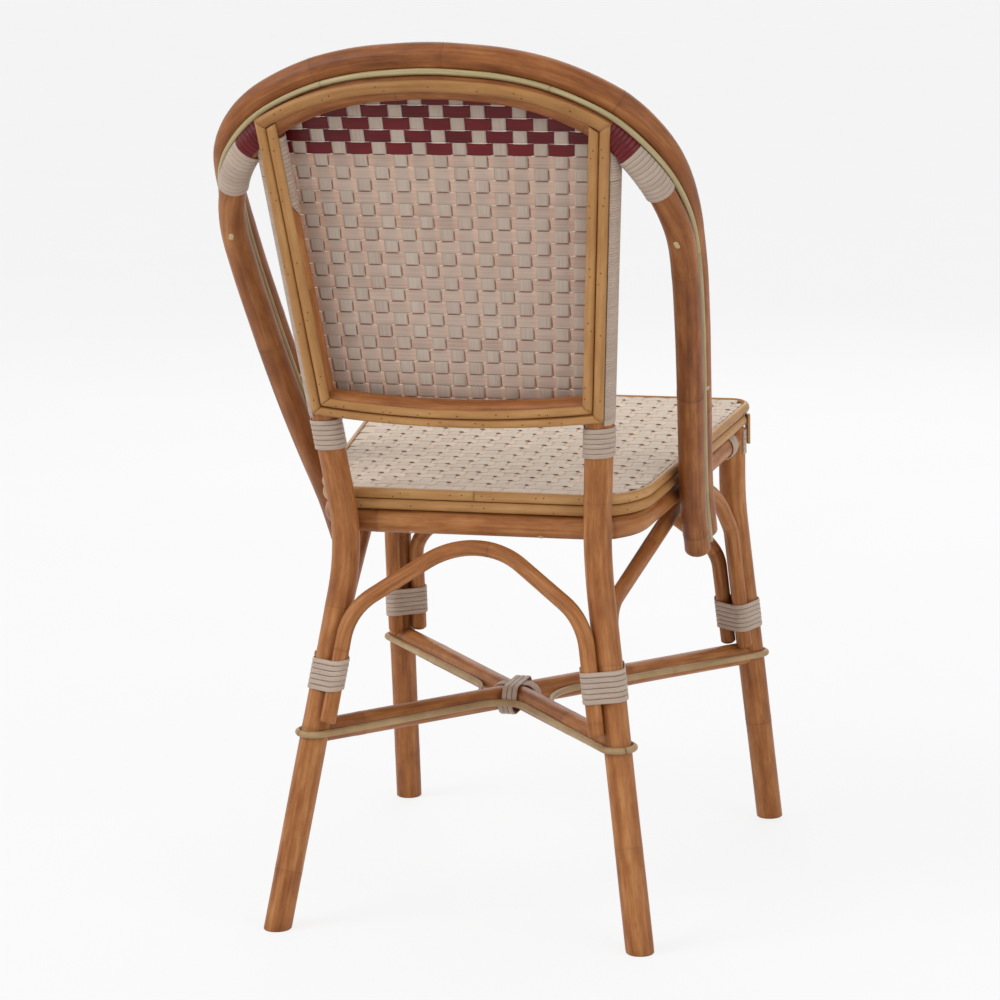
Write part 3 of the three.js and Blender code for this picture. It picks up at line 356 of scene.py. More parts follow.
post_foot = back_local(post_point(back_rail_height))
post_head = back_local(post_point(hoop_top))


def post_line(s):
    share = (s - post_foot[1]) / (post_head[1] - post_foot[1])
    return post_foot[0] + share * (post_head[0] - post_foot[0])


def on_back(points, front):
    return np.array([back_point(p[0], p[1], front) for p in points])


def sag_at(share):
    """How far the lower rail of the back hangs at a share of its half width."""
    return back_rail_sag * (1 - share**2)


def sagging(end, steps=20):
    """From left to right between the posts, as the lower rail sags."""
    shares = 1 - 2 * np.arange(steps + 1) / steps
    return np.stack([shares * end[0], end[1] - sag_at(shares)], -1)


# The source centres the chair in depth: the foot of a front leg says by how much.
foot = np.array([v.co[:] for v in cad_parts["front_leg_left"].data.vertices if v.co.z < 1e-5])
SHIFT = vec(0, (foot[:, 1].min() + foot[:, 1].max()) / 2 / MM - front_corners[0][1], 0)


# Meshes


class Build:
    """Collects vertices, faces, UVs and per-vertex values of one piece."""

    def __init__(self):
        self.verts, self.faces, self.uvs = [], [], []
        self.values = {"tone": [], "ring": []}
        self.count = 0

    def add(self, verts, faces, uvs, tone=0.0, ring=0.0):
        self.verts.append(np.asarray(verts, float))
        self.faces += [[i + self.count for i in face] for face in faces]
        self.uvs += uvs
        for key, value in (("tone", tone), ("ring", ring)):
            self.values[key].append(np.broadcast_to(value, len(verts)))
        self.count += len(verts)

    def add_swept(self, verts, along, around, tone=0.0, ring=0.0, shift=0.0):
        """Quads between closed rings of vertices, and their two end faces, with UVs in metres.

        The shift moves the texture of the quads along them.
        """
        rows, columns = verts.shape[:2]
        quads_along = along + shift
        faces, uvs = [], []
        for i in range(rows - 1):
            v0, v1 = quads_along[i], quads_along[i + 1]
            for j in range(columns):
                a, b = i * columns + j, i * columns + (j + 1) % columns
                faces.append([a, b, b + columns, a + columns])
                u0, u1 = around[j], around[j + 1]
                uvs.append([(u0, v0), (u1, v0), (u1, v1), (u0, v1)])
        for i, order in ((0, range(columns)[::-1]), (rows - 1, range(columns))):
            faces.append([i * columns + j for j in order])
            uvs.append([(around[j], along[i]) for j in order])
        self.add(verts.reshape(-1, 3), faces, uvs, tone, ring)

    def shown(self, name, material, slot=None, node=None):
        """Makes the piece, in place of a node of the frame where one is named."""
        mesh = bpy.data.meshes.new(name)
        points = (np.vstack(self.verts) + SHIFT) * MM
        mesh.from_pydata([tuple(p) for p in points], [], self.faces)
        layer = mesh.uv_layers.new(name="UVMap")
        layer.data.foreach_set("uv", np.array([c for uv in self.uvs for c in uv], np.float32).ravel())
        for key, parts in self.values.items():
            attribute = mesh.attributes.new(key, "FLOAT", "POINT")
            attribute.data.foreach_set("value", np.concatenate(parts).astype(np.float32))
        mesh.polygons.foreach_set("use_smooth", [True] * len(mesh.polygons))
        mesh.materials.append(material)
        mesh.update()
        piece = bpy.data.objects.new(name, mesh)
        bpy.context.scene.collection.objects.link(piece)
        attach(piece, "root")
        if node:
            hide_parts(node)
        return piece


# Stations round a node, and how far its swelling, its groove and the shade beside it reach
node_steps = (-9, -5, -2.6, -1.3, -0.6, 0, 0.6, 1.3, 2.6, 5, 9)
station_gap = 0.25
swell_reach, groove_reach, shade_reach, groove_depth, shade_share = 4.5, 0.9, 4.0, 0.4, 0.3
# How much the radius of a pole wavers, over which length
wavering = ((0.12, 37), (0.1, 71))


def node_places(total, seed, low=130, high=250, end=12):
    """Where the nodes of a pole are, at uneven distances."""
    rng = random.Random(seed)
    places, at = [], rng.uniform(0.25, 0.9) * low
    while at < total - end:
        places.append(at)
        at += rng.uniform(low, high)
    return places


def tube(route, radius, seed, sides=28, nodes=None, swell=0.4, cap=1.2):
    """A pole with nodes: slight swellings, each with a fine dark groove."""
    s = lengths(route.points)
    total = s[-1]
    rng = random.Random(seed)
    places = node_places(total, seed) if nodes is None else nodes
    wanted = {round(p + d, 3) for p in places for d in node_steps if 0 < p + d < total}
    wanted = sorted(wanted | set(np.round(s, 3)))
    stations = np.array([w for w, last in zip(wanted, [-1, *wanted]) if w - last > station_gap])
    centre, normal, binormal = (
        interpolated(stations, s, rows) for rows in (route.points, route.normals, route.binormals)
    )
    r = np.full(len(stations), float(radius))
    ring = np.zeros(len(stations))
    edges = [-50, *places]
    tones = np.array([rng.uniform(-1, 1) for _ in [*edges, total]])
    tone = tones[np.searchsorted(edges, stations, side="right") - 1]
    for p in places:
        d = stations - p
        force = rng.uniform(0.25, 1)
        groove_at = np.exp(-((d / groove_reach) ** 2))
        r += force * (swell * np.exp(-((d / swell_reach) ** 2)) - groove_depth * groove_at)
        ring = np.maximum(ring, force * groove_at)
        ring = np.maximum(ring, shade_share * force * np.exp(-((d / shade_reach) ** 2)))
    r += sum(size * np.sin(stations / length + rng.uniform(0, 6)) for size, length in wavering)
    if cap:
        again = [0, *range(len(stations)), len(stations) - 1]
        stations, centre, normal, binormal, r, ring, tone = (
            values[again] for values in (stations, centre, normal, binormal, r, ring, tone)
        )
        for end, inner, beyond, sense in ((0, 1, 2, 1), (-1, -2, -3, -1)):
            centre[inner] += unit(centre[beyond] - centre[end]) * cap
            stations[inner] += cap * sense
            r[inner] = radius
            r[end] -= cap
    angles = 2 * math.pi * np.arange(sides) / sides
    verts = (
        centre[:, None]
        + normal[:, None] * (np.cos(angles)[None, :, None] * r[:, None, None])
        + binormal[:, None] * (np.sin(angles)[None, :, None] * r[:, None, None])
    )
    along = stations * MM + rng.uniform(0, 5)
    around = np.arange(sides + 1) / sides
    build = Build()
    build.add_swept(verts, along, around, np.repeat(tone, sides), np.repeat(ring, sides))
    return build


def sweep(route, section, tone=0.0):
    """A closed section, as points sideways and outward, along a route."""
    section = np.asarray(section, float)
    verts = (
        route.points[:, None]
        + route.normals[:, None] * section[None, :, :1]
        + route.binormals[:, None] * section[None, :, 1:]
    )
    around = lengths(np.vstack([section, section[:1]])) * MM
    build = Build()
    build.add_swept(verts, lengths(route.points) * MM, around, tone, shift=tone * 1.7)
    return build


def half_round(width, thickness, steps=12):
    """Flat on its lower side, with softly rounded edges."""
    angles = [math.pi * i / steps for i in range(steps + 1)]
    return [(width / 2 * math.cos(a), thickness * math.sin(a) ** 0.9) for a in angles]


def strand_section(width, thickness):
    """A flat strand with softly domed outer side."""
    dome = [(1, 0.1), (0.9, thickness * 0.75), (0.45, thickness)]
    outline = [*dome, *((-x, y) for x, y in dome[::-1]), (-0.8, 0), (0.8, 0)]
    return [(width / 2 * x, y) for x, y in outline]


# Materials

BLACK, WHITE = (0, 0, 0), (255, 255, 255)
ring_brown = (62, 34, 18)


def linear(rgb):
    """The linear colour of three sRGB values up to 255, with alpha."""
    shares = [c / 255 for c in rgb]
    return (*(c / 12.92 if c <= 0.04045 else ((c + 0.055) / 1.055) ** 2.4 for c in shares), 1)


class Nodes:
    """A node tree, and short calls that add nodes to it. Each gives the output of its node."""

    def __init__(self, tree):
        self.tree = tree

    def feed(self, socket, value):
        """Links an output to an input, or gives the input a plain value."""
        if isinstance(value, bpy.types.NodeSocket):
            self.tree.links.new(value, socket)
        else:
            socket.default_value = value

    def node(self, kind, inputs=(), **settings):
        made = self.tree.nodes.new(kind)
        for key, value in settings.items():
            setattr(made, key, value)
        for key, value in dict(inputs).items():
            self.feed(made.inputs[key], value)
        return made

    def math(self, operation, *values, clamp=False):
        made = self.node("ShaderNodeMath", enumerate(values), operation=operation, use_clamp=clamp)
        return made.outputs[0]

    def total(self, *terms):
        """The sum of some outputs, each times its weight."""
        parts = [self.math("MULTIPLY", output, weight) for output, weight in terms]
        value = parts[0]
        for part in parts[1:]:
            value = self.math("ADD", value, part)
        return value

    def combine(self, *parts):
        return self.node("ShaderNodeCombineXYZ", enumerate(parts)).outputs[0]

    def noise(self, vector, detail, rough, scale=1.0):
        inputs = {"Vector": vector, "Scale": scale, "Detail": detail, "Roughness": rough}
        return self.node("ShaderNodeTexNoise", inputs).outputs["Fac"]

    def ramp(self, value, *stops):
        made = self.node("ShaderNodeValToRGB", {0: value})
        elements = made.color_ramp.elements
        while len(elements) < len(stops):
            elements.new(0.5)
        for element, (at, rgb) in zip(elements, stops):
            element.position = at
            element.color = linear(rgb)
        return made.outputs[0]

    def mix(self, factor, a, b):
        return self.node("ShaderNodeMix", {0: factor, 6: a, 7: b}, data_type="RGBA").outputs[2]

    def attribute(self, name):
        return self.node("ShaderNodeAttribute", attribute_name=name).outputs["Fac"]

    def uv(self):
        uv_map = self.node("ShaderNodeUVMap", uv_map="UVMap")
        return self.node("ShaderNodeSeparateXYZ", {0: uv_map.outputs[0]}).outputs[:2]

    def tube_vector(self, across, along):
        """Coordinates on a pole that have no seam round it."""
        u, v = self.uv()
        angle = self.math("MULTIPLY", u, 2 * math.pi)
        x, y = (self.math("MULTIPLY", self.math(turn, angle), across) for turn in ("COSINE", "SINE"))
        return self.combine(x, y, self.math("MULTIPLY", v, along))

    def flat_vector(self, across, along):
        u, v = self.uv()
        return self.combine(self.math("MULTIPLY", u, across), self.math("MULTIPLY", v, along))

    def show_white(self, shader, white, share, surface):
        """Shows the white in place of a shader, but not to the light that falls on the chair."""
        rays = self.node("ShaderNodeLightPath").outputs
        seen = self.math("MAXIMUM", rays["Is Camera Ray"], rays["Is Glossy Ray"])
        seen = self.math("MAXIMUM", seen, rays["Is Transmission Ray"])
        inputs = {0: self.math("MULTIPLY", seen, share), 1: shader.outputs[0], 2: white.outputs[0]}
        self.feed(surface, self.node("ShaderNodeMixShader", inputs).outputs[0])


class Shader(Nodes):
    """A material with a Principled shader."""

    def __init__(self, name, **sockets):
        self.material = bpy.data.materials.new(name)
        self.material.use_nodes = True
        super().__init__(self.material.node_tree)
        self.principled = self.tree.nodes["Principled BSDF"]
        self.surface(**sockets)

    def surface(self, **sockets):
        for name, value in sockets.items():
            self.feed(self.principled.inputs[name.replace("_", " ")], value)

    def bump(self, height, strength, distance):
        inputs = {"Strength": strength, "Distance": distance, "Height": height}
        self.surface(Normal=self.node("ShaderNodeBump", inputs).outputs[0])


def pole_material(name, dark, middle, light, tube_like=True):
    """Lacquered rattan: long streaks, soft patches, and a tone for each length between nodes."""
    sh = Shader(name, Coat_Weight=0.07, Coat_Roughness=0.28, Specular_IOR_Level=0.22)
    if tube_like:
        vector, scales = sh.tube_vector, ((9, 12), (2.2, 7), (1.3, 24), (3.2, 60))
    else:
        vector, scales = sh.flat_vector, ((900, 9), (160, 4), (60, 16), (190, 60))
    fine, broad, patch, fleck = (vector(*scale) for scale in scales)
    streak = sh.noise(fine, 4, 0.65)
    wide = sh.noise(broad, 3, 0.5)
    spots = sh.noise(patch, 4, 0.6)
    value = sh.total((streak, 0.24), (wide, 0.32), (spots, 0.44), (sh.attribute("tone"), 0.04))
    colour = sh.ramp(value, (0.31, dark), (0.50, middle), (0.69, light))
    marks = sh.ramp(sh.noise(fleck, 2, 0.5), (0.63, BLACK), (0.74, WHITE))
    colour = sh.mix(sh.math("MULTIPLY", marks, 0.3), colour, linear(dark))
    ring = sh.math("MULTIPLY", sh.attribute("ring"), 0.42, clamp=True)
    rough = sh.math("ADD", sh.math("MULTIPLY", streak, 0.22), 0.34)
    sh.surface(Base_Color=sh.mix(ring, colour, linear(ring_brown)), Roughness=rough)
    sh.bump(streak, 0.12, 0.0006)
    return sh.material


def strand_material(name, dark, light, gloss, glow=None):
    """Flat strand: fine lines along it and slight changes of colour."""
    sh = Shader(name, Specular_IOR_Level=0.25)
    fine = sh.noise(sh.flat_vector(950, 6), 3, 0.6)
    broad = sh.noise(sh.flat_vector(70, 22), 3, 0.5)
    value = sh.total((fine, 0.6), (broad, 0.4), (sh.attribute("tone"), 0.12))
    rough = sh.math("ADD", sh.math("MULTIPLY", fine, 0.2), gloss - 0.1)
    sh.surface(Base_Color=sh.ramp(value, (0.34, dark), (0.62, light)), Roughness=rough)
    sh.bump(fine, 0.25, 0.0004)
    if glow:
        sh.surface(Subsurface_Weight=0.35, Subsurface_Radius=glow, Subsurface_Scale=0.004)
    return sh.material


def speckled_shader(name, scale, dark, light, **sockets):
    """Soft specks of two near colours."""
    sh = Shader(name, **sockets)
    place = sh.node("ShaderNodeTexCoord").outputs["Object"]
    sh.surface(Base_Color=sh.ramp(sh.noise(place, 2, 0.5, scale), (0.3, dark), (0.7, light)))
    return sh


pole = pole_material("rattan_pole", (114, 61, 30), (163, 103, 56), (200, 143, 88))
hoop_pole = pole_material("rattan_hoop", (98, 51, 24), (145, 87, 45), (184, 125, 74))
cane = pole_material("split_cane", (146, 100, 56), (176, 128, 76), (200, 154, 100), tube_like=False)
peel = pole_material("peel", (136, 108, 72), (170, 140, 100), (198, 172, 132))
groove = pole_material("groove_peel", (138, 124, 86), (176, 160, 118), (200, 186, 146))
pale = strand_material("pale_strand", (170, 150, 136), (196, 176, 160), 0.5, (1.0, 0.55, 0.35))
# The back's columns get a copy of the pale strand made lighter than the rows', as painted light against the
# shade of their relief.
warp = strand_material("pale_warp_painted_light", (183, 160, 146), (204, 182, 167), 0.5, (1.0, 0.5, 0.3))
weft = strand_material("pale_weft", (178, 152, 138), (202, 176, 161), 0.5, (1.0, 0.5, 0.3))
maroon = strand_material("dark_strand", (74, 10, 15), (114, 25, 30), 0.34)
seat_pale = strand_material("seat_strand", (202, 174, 152), (224, 200, 178), 0.55, (1.0, 0.6, 0.4))
# Pale plates for the turned edges of the back, and for flecks of painted highlight in both weaves.
bright = strand_material("turned_edge_and_painted_glint", (206, 186, 172), (232, 214, 202), 0.5)
# Dark plates of painted shade in the slits of the back weave and of the seat weave.
slit_shade = strand_material("weave_slit_painted_shade", (136, 92, 74), (160, 112, 92), 0.7)
painted_shade_seat = strand_material("seat_slit_painted_shade", (92, 54, 38), (132, 88, 68), 0.7)
pin = strand_material("pin", (178, 150, 110), (214, 190, 150), 0.45)
nail = speckled_shader("nail", 900, (70, 44, 24), (118, 80, 46), Roughness=0.45, Metallic=0.6).material

# Poles

carriers = {}
for node, sideways, seed in (("hoop_inner", 0, 11), ("hoop_outer", hoop_spacing, 12)):
    build = tube(hoop_route.beside(sideways, 0), hoop_radius, seed)
    carriers[node] = build.shown(f"pole_{node}", hoop_pole, "rattan_pole", node)


def pole_piece(node, points, radius, hint, seed, planes=(None, None), **options):
    build = tube(Route(points, hint, planes), radius, seed, **options)
    carriers[node] = build.shown(f"pole_{node}", pole, "rattan_pole", node)


# The posts end inside the hoop that they carry.
post_hold = 9
rear_path = bent_path(rear_corners, [rear_bend_radius])
rear_path = at_lengths(rear_path, np.linspace(0, lengths(rear_path)[-1] - post_hold, 160))
front_path = resampled(bent_path(front_corners, [front_bend_radius]), 5)
legs = (
    ("rear", rear_path, 20, {1: (61, 205, 330, 505, 668), -1: (103, 283, 452, 600, 742)}),
    ("front", front_path, 30, {1: (60, 190, 330), -1: (120, 245)}),
)
for name, side in SIDES:
    for end, path, seed, nodes in legs:
        options = {"planes": (UP, None), "nodes": nodes[side]}
        pole_piece(f"{end}_leg_{name}", placed(path, side), leg_radius, ACROSS, seed + side, **options)

rail_path = rear_bow(rail_inset, front_top_y, under_seat)
pole_piece("seat_rail_bent", resampled(rail_path, 5), rail_radius, seat_normal, 41)
pole_piece("seat_rail_front", resampled(rail_path[[0, -1]], 8), rail_radius, UP, 42)
back_rail = resampled(on_back(sagging(post_foot), -back_rail_setback), 8)
pole_piece("back_rail", back_rail, rail_radius, back_front, 43, nodes=())

# Bars under the seat
bar_spread, bar_hold = 65, 3
seat_mid_y = (seat_front_y + seat_rear_y) / 2
frame_inset = edging_thickness + clearance + frame_width / 2
frame_drop = deck_thickness + clearance + frame_height / 2
for name, y in (("front", seat_mid_y - bar_spread), ("rear", seat_mid_y + bar_spread)):
    end = seat_point((seat_half_width(y, frame_inset) - frame_width / 2 + bar_hold, y), frame_drop)
    pole_piece(f"seat_bar_{name}", resampled([end, mirrored(end)], 8), bar_radius, UP, 44, sides=20)

# Stretchers
rear_ankle, front_ankle = rear_leg.at(stretcher_height), front_leg.at(stretcher_height)
ankles = [rear_ankle, mirrored(rear_ankle), mirrored(front_ankle), front_ankle]
for node, i, seed in (("stretcher_left_rear", 0, 51), ("stretcher_right_rear", 1, 54)):
    pole_piece(node, resampled(ankles[i : i + 3 : 2], 6), stretcher_radius, UP, seed, cap=0)
crossing_share = rear_ankle[0] / (rear_ankle[0] + front_ankle[0])
crossing = vec(0, rear_ankle[1] + crossing_share * (front_ankle[1] - rear_ankle[1]), stretcher_height)

# Arches
arch_spacing = leg_radius + arch_radius + 2 * clearance
rear_arch = {"slopes": (32, 32), "shoulder": 64, "crown": 80, "foot": 45}
front_arch = {"slopes": (36, 36), "shoulder": 42, "crown": 92, "foot": 15}
side_arch = {"slopes": (15, 54), "shoulder": 40, "crown": 110}


def arch_apex(x, y, onward, upward, arch):
    """The corner above the crown of an arch that touches the seat rail from below."""
    crown = under_seat((x, y)) - seat_normal * (rail_radius + arch_radius + clearance)
    rising, falling = (math.radians(a) for a in arch["slopes"])
    reach = arch["crown"] / math.cos((rising + falling) / 2)
    lean = (falling - rising) / 2
    corner = crown + upward * (reach * math.cos(lean) - arch["crown"])
    return corner + onward * reach * math.sin(lean)


def arch_half(leg, offset, apex, onward, upward, slope):
    """The foot and the shoulder of an arch beside a leg."""
    near = leg.at(leg.binding + arch_straight) + offset
    arm = near - apex
    fall = abs(arm @ onward) * math.tan(math.radians(slope))
    miss = (fall + arm @ upward) / (leg.direction @ upward)
    return [leg.at(arch_end) + offset, near - leg.direction * miss]


def cross_foot(arch):
    a = math.radians(arch["foot"])
    return vec(-math.cos(a), math.sin(a)) * arch_spacing


def arch_piece(node, corners, arch, hint, seed):
    path = resampled(bent_path(corners, [arch["shoulder"], arch["crown"], arch["shoulder"]]), 4)
    pole_piece(node, path, arch_radius, hint, seed, sides=22, swell=0.25)


for node, leg, arch, crown_y, seed in (
    ("arch_rear", rear_leg, rear_arch, seat_rear_y - rail_inset, 61),
    ("arch_front", front_leg, front_arch, front_top_y, 62),
):
    apex = arch_apex(0, crown_y, ACROSS, UP, arch)
    half = arch_half(leg, cross_foot(arch), apex, ACROSS, UP, arch["slopes"][0])
    arch_piece(node, [*half, apex, *mirrored(half)[::-1]], arch, DEPTHWAYS, seed)
directions = -seat_rearward, seat_normal
apex = arch_apex(seat_half_width(side_crown_y, rail_inset), side_crown_y, *directions, side_arch)
rear_half, front_half = (
    arch_half(leg, vec(0, arch_spacing * leg.depthways), apex, *directions, slope)
    for leg, slope in zip((rear_leg, front_leg), side_arch["slopes"])
)
for name, side in SIDES:
    corners = placed([*rear_half, apex, *front_half[::-1]], side)
    arch_piece(f"arch_{name}", corners, side_arch, ACROSS, 64 + side)

# Strips in the grooves between the hoops

groove_radius, groove_head_drop = 3, 107
touch = hoop_radius + groove_radius + clearance
groove_offset = math.sqrt(touch**2 - (hoop_spacing / 2) ** 2)
groove_strips = [("outer", groove_offset, 0, None, 71)]
for name, side in SIDES:
    stations = sorted((hoop_index(hoop_foot, side), hoop_index(hoop_top - groove_head_drop, side)))
    groove_strips.append((f"inner_{name}", -groove_offset, *stations, 72 + side))
for name, offset, first, last, seed in groove_strips:
    build = tube(
        hoop_route.beside(hoop_spacing / 2, offset, first, last),
        groove_radius, seed, sides=14, swell=0.2, cap=0.4,
    )
    build.shown(f"strip_groove_{name}", groove, "peel", f"groove_strip_{name}")

# Strips round the stretchers

strip_width, strip_height, end_gap, side_gap = 7, 4.4, 0.6, 13
lashing_span = (3 * strand_pitch + strand_width) / 2
lashing_lift = strand_thickness + clearance
rear_tilt = math.acos(rear_leg.direction[2])
leg_hug = leg_radius / math.cos(rear_tilt) + strip_width / 2 * math.tan(rear_tilt) + clearance
strip_hug = stretcher_radius + clearance


def quarter_turn(v, direction):
    return vec(-v[1] * direction, v[0] * direction)


def hook_arc(centre, spoke, towards, steps=14):
    """A quarter turn round a leg."""
    angles = np.linspace(clearance / leg_hug, math.pi / 2, steps + 1)[:, None]
    return centre + spoke * leg_hug * np.cos(angles) + towards * leg_hug * np.sin(angles)


def lashed_reach(half_angle):
    return stretcher_radius / math.sin(half_angle) + lashing_span / math.tan(half_angle)


def strip_path(start, end, lift, gap):
    """From round one leg to round another, bent where it passes the lashing."""
    spokes = [unit(a - crossing) for a in (start, end)]
    half_angle = math.acos(spokes[0] @ spokes[1]) / 2
    bisector = unit(spokes[0] + spokes[1])
    lashed = lashed_reach(half_angle) + 2 * lift + winding_clear + strand_thickness + gap
    share = math.sin(half_angle)
    bend_radius = (lashed * share - strip_hug) / (1 - share)
    centre = crossing + bisector * (strip_hug + bend_radius) / math.sin(half_angle)
    first = hook_arc(start, spokes[0], quarter_turn(spokes[0], 1))
    last = hook_arc(end, spokes[1], quarter_turn(spokes[1], -1))[::-1]
    swing = math.pi / 2 - half_angle
    angles = np.linspace(swing, -swing, 17)[:, None]
    bend = centre + (-bisector * np.cos(angles) + quarter_turn(bisector, -1) * np.sin(angles)) * bend_radius
    return resampled(np.vstack([first, bend, last]), 4)


for name, i, k, lift, gap in (
    ("rear", 0, 1, lashing_lift, end_gap),
    ("right", 1, 2, 0, side_gap),
    ("front", 2, 3, lashing_lift, end_gap),
    ("left", 3, 0, 0, side_gap),
):
    route = Route(strip_path(ankles[i], ankles[k], lift, gap), UP)
    build = sweep(route, half_round(strip_width, strip_height, 10))
    build.shown(f"strip_stretcher_{name}", peel, "peel", f"stretcher_strip_{name}")

# Half-round edgings of the seat

nail_places = []
single_share, pair_half, nail_aside_share, nail_end = 0.35, 4.5, 0.22, 8


def nails_along(route, width, seed, spacing):
    """Small nail heads along a half-round edging, most of them in pairs."""
    rng = random.Random(seed)
    s = lengths(route.points)
    at = rng.uniform(12, 30)
    while at < s[-1] - nail_end:
        for d in (0,) if rng.random() < single_share else (-pair_half, pair_half):
            i = int(np.abs(s - (at + d)).argmin())
            side = rng.uniform(-nail_aside_share, nail_aside_share)
            out = edging_thickness * math.sqrt(max(0.0, 1 - (2 * side) ** 2))
            place = route.points[i] + route.normals[i] * side * width + route.binormals[i] * out
            nail_places.append((place, unit(route.binormals[i] + route.normals[i] * side)))
        at += spacing * rng.uniform(0.75, 1.3)


def cane_piece(name, node, route, width, tone, nails=None, thickness=edging_thickness):
    """A half-round strip along a route. Its nails are given by a seed and their spacing."""
    sweep(route, half_round(width, thickness), tone).shown(name, cane, "split_cane", node)
    if nails:
        nails_along(route, width, *nails)


upper_half = np.array([seat_point(p, edging_width / 2) for p in seat_outline(edging_thickness)])
upper_path = shortened(np.vstack([mirrored(upper_half)[::-1], upper_half[1:]]))
route = Route(resampled(upper_path, 4), seat_normal)
cane_piece("edging_upper", "seat_edging_upper", route, edging_width, 1.6, (1, 52))

corner_angle, corner_length, corner_thickness = math.radians(30), 31, 4
corner_out = vec(math.cos(corner_angle), -math.sin(corner_angle))
corner_base = vec(front_top_x, front_top_y) + corner_out * (leg_radius + wrap_thickness + 2 * clearance)
lower_drop = edging_width * 1.5 + edging_gap
lower_y = corner_base[1] + edging_width / 2 * corner_out[0] + clearance
lower_path = rear_bow(edging_thickness, lower_y, lambda p: seat_point(p, lower_drop))
route = Route(resampled(lower_path, 4), seat_normal)
cane_piece("edging_lower", "seat_edging_lower", route, edging_width, 1.1, (2, 75))

for name, side in SIDES:
    top = placed(seat_point(corner_base, edging_width + edging_gap + clearance), side)
    sideways = np.cross(placed(corner_out, side), UP)
    route = Route(resampled([top - UP * corner_length, top], 3), sideways, (None, seat_normal))
    node = f"corner_edging_{name}"
    cane_piece(f"edging_corner_{name}", node, route, edging_width, 0.5, thickness=corner_thickness)

# Border of the back

hoop_arc = np.array([back_local(p) for p in hoop_route.points])


def arch_line(offset_at, half_width_at):
    """The inner hoop between the posts, moved outward, from left to right."""
    before = np.vstack([hoop_arc[:1], hoop_arc[:-1]])
    after = np.vstack([hoop_arc[1:], hoop_arc[-1:]])
    direction = unit_rows(after - before)
    outward = np.stack([direction[:, 1], -direction[:, 0]], -1)
    moved = hoop_arc + outward * np.array([offset_at(p) for p in hoop_arc])[:, None]
    inside = [p for p in moved if p[1] > post_foot[1] and abs(p[0]) < half_width_at(p[1])]
    first, second = inside[0], inside[1]
    beyond = first + (first - second) * 4
    low, high = 0.0, 1.0
    for _ in range(30):
        middle = (low + high) / 2
        point = first + (beyond - first) * middle
        if abs(point[0]) < half_width_at(point[1]):
            low = middle
        else:
            high = middle
    end = first + (beyond - first) * low
    kept = [p for p in inside if abs(p[0]) < end[0] - 2]
    return np.array([end, *kept, end * [-1, 1]])


rim_middle_lift, rim_end_rise = 4, 4


def rim_lift(point):
    return rim_middle_lift + rim_end_rise * (point[0] / post_head[0]) ** 2


post_along = unit(np.append(post_head - post_foot, 0))[:2]
outwards = np.array([post_along[1], -post_along[0]])
side_offset = (side_width + edging_gap) / 2
foot_offset = (foot_width + edging_gap) / 2


def border_line(offset):
    return lambda s: post_line(s) + (offset - side_inset) / outwards[0]


def back_vector(direction):
    return ACROSS * direction[0] + back_up * direction[1]


def rear_bulge(point, tangent):
    return np.cross(tangent, back_front)


def mitre(out, width):
    """The plane in which a side strip meets a strip of some width that faces some way."""
    turn = outwards[0] * out[1] - outwards[1] * out[0]
    x = (side_width * out[1] - width * outwards[1]) / turn
    y = (width * outwards[0] - side_width * out[0]) / turn
    return back_vector(unit(np.array([-y, x, 0]))[:2])


def outward_at(points, turn):
    """The outward direction at the left end of a strip."""
    along = unit(np.append(points[0] - points[1], 0))[:2]
    return np.array([-along[1] * turn, along[0] * turn])


def border_route(points, planes):
    """A route behind the posts, from places in the plane of the back."""
    return Route(resampled(on_back(points, -(leg_radius + clearance)), 4), rear_bulge, planes)


top_arc = arch_line(rim_lift, border_line(side_offset))
top_out = outward_at(top_arc, 1)
top_mitre = mitre(top_out, rim_width)
top_arc = shortened(top_arc)
route = border_route(top_arc, (top_mitre, mirrored(top_mitre)))
cane_piece("border_rim_top", "border_top", route, rim_width, -2.2, (5, 45))
under_rim = rim_width / 2 + edging_gap + clearance
under_top = arch_line(lambda p: rim_lift(p) - under_rim, border_line(-side_offset))
rings = (
    ("outer", side_offset, foot_offset, top_arc[0], top_mitre, 31),
    ("inner", -side_offset, -foot_offset, under_top[0], back_vector(top_out), 37),
)
for ring_name, across, below, head, head_plane, seed in rings:
    foot_up = post_foot[1] - foot_drop - below
    foot_point = np.array([border_line(across)(foot_up), foot_up])
    foot_arc = sagging(foot_point)
    foot_mitre = mitre(outward_at(foot_arc, -1), foot_width)
    for name, side in SIDES:
        points = shortened([foot_point, head]) * [side, 1]
        route = border_route(points, [placed(plane, side) for plane in (foot_mitre, head_plane)])
        node = f"border_side_{ring_name}_{name}"
        cane_piece(f"strip_{node}", node, route, side_width, 0.1 * side, (seed + side, 60))
    route = border_route(shortened(foot_arc), (foot_mitre, mirrored(foot_mitre)))
    node = f"border_bottom_{ring_name}"
    cane_piece(f"strip_{node}", node, route, foot_width, -0.2, (seed + 2, 45))

# Bindings

steps_per_turn, bound_width = 56, 5.1


def bundle_reach(poles, angle):
    direction = np.array([math.cos(angle), math.sin(angle)])
    best = max(poles, key=lambda p: p[0] * direction[0] + p[1] * direction[1] + p[2])
    return np.array(best[:2]) + direction * best[2]


def binding(name, node, turns, base, advance, poles, axes, tone=0.0):
    """Strand wound round a bundle of poles, which are given by place and radius along two axes."""
    points = []
    for i in range(turns * steps_per_turn + 1):
        a, b = bundle_reach(poles, 2 * math.pi * i / steps_per_turn)
        along = (i / steps_per_turn - turns / 2) * strand_pitch
        points.append(base + advance * along + axes[0] * a + axes[1] * b)
    # Straight stretches between two poles get points of their own.
    route = Route(resampled(points, 2.5), advance)
    build = sweep(route, strand_section(bound_width, strand_thickness), tone)
    build.shown(f"binding_{name}", pale, "pale_strand", node)


def widened(radius):
    return radius / math.cos(rear_tilt) + winding_clear


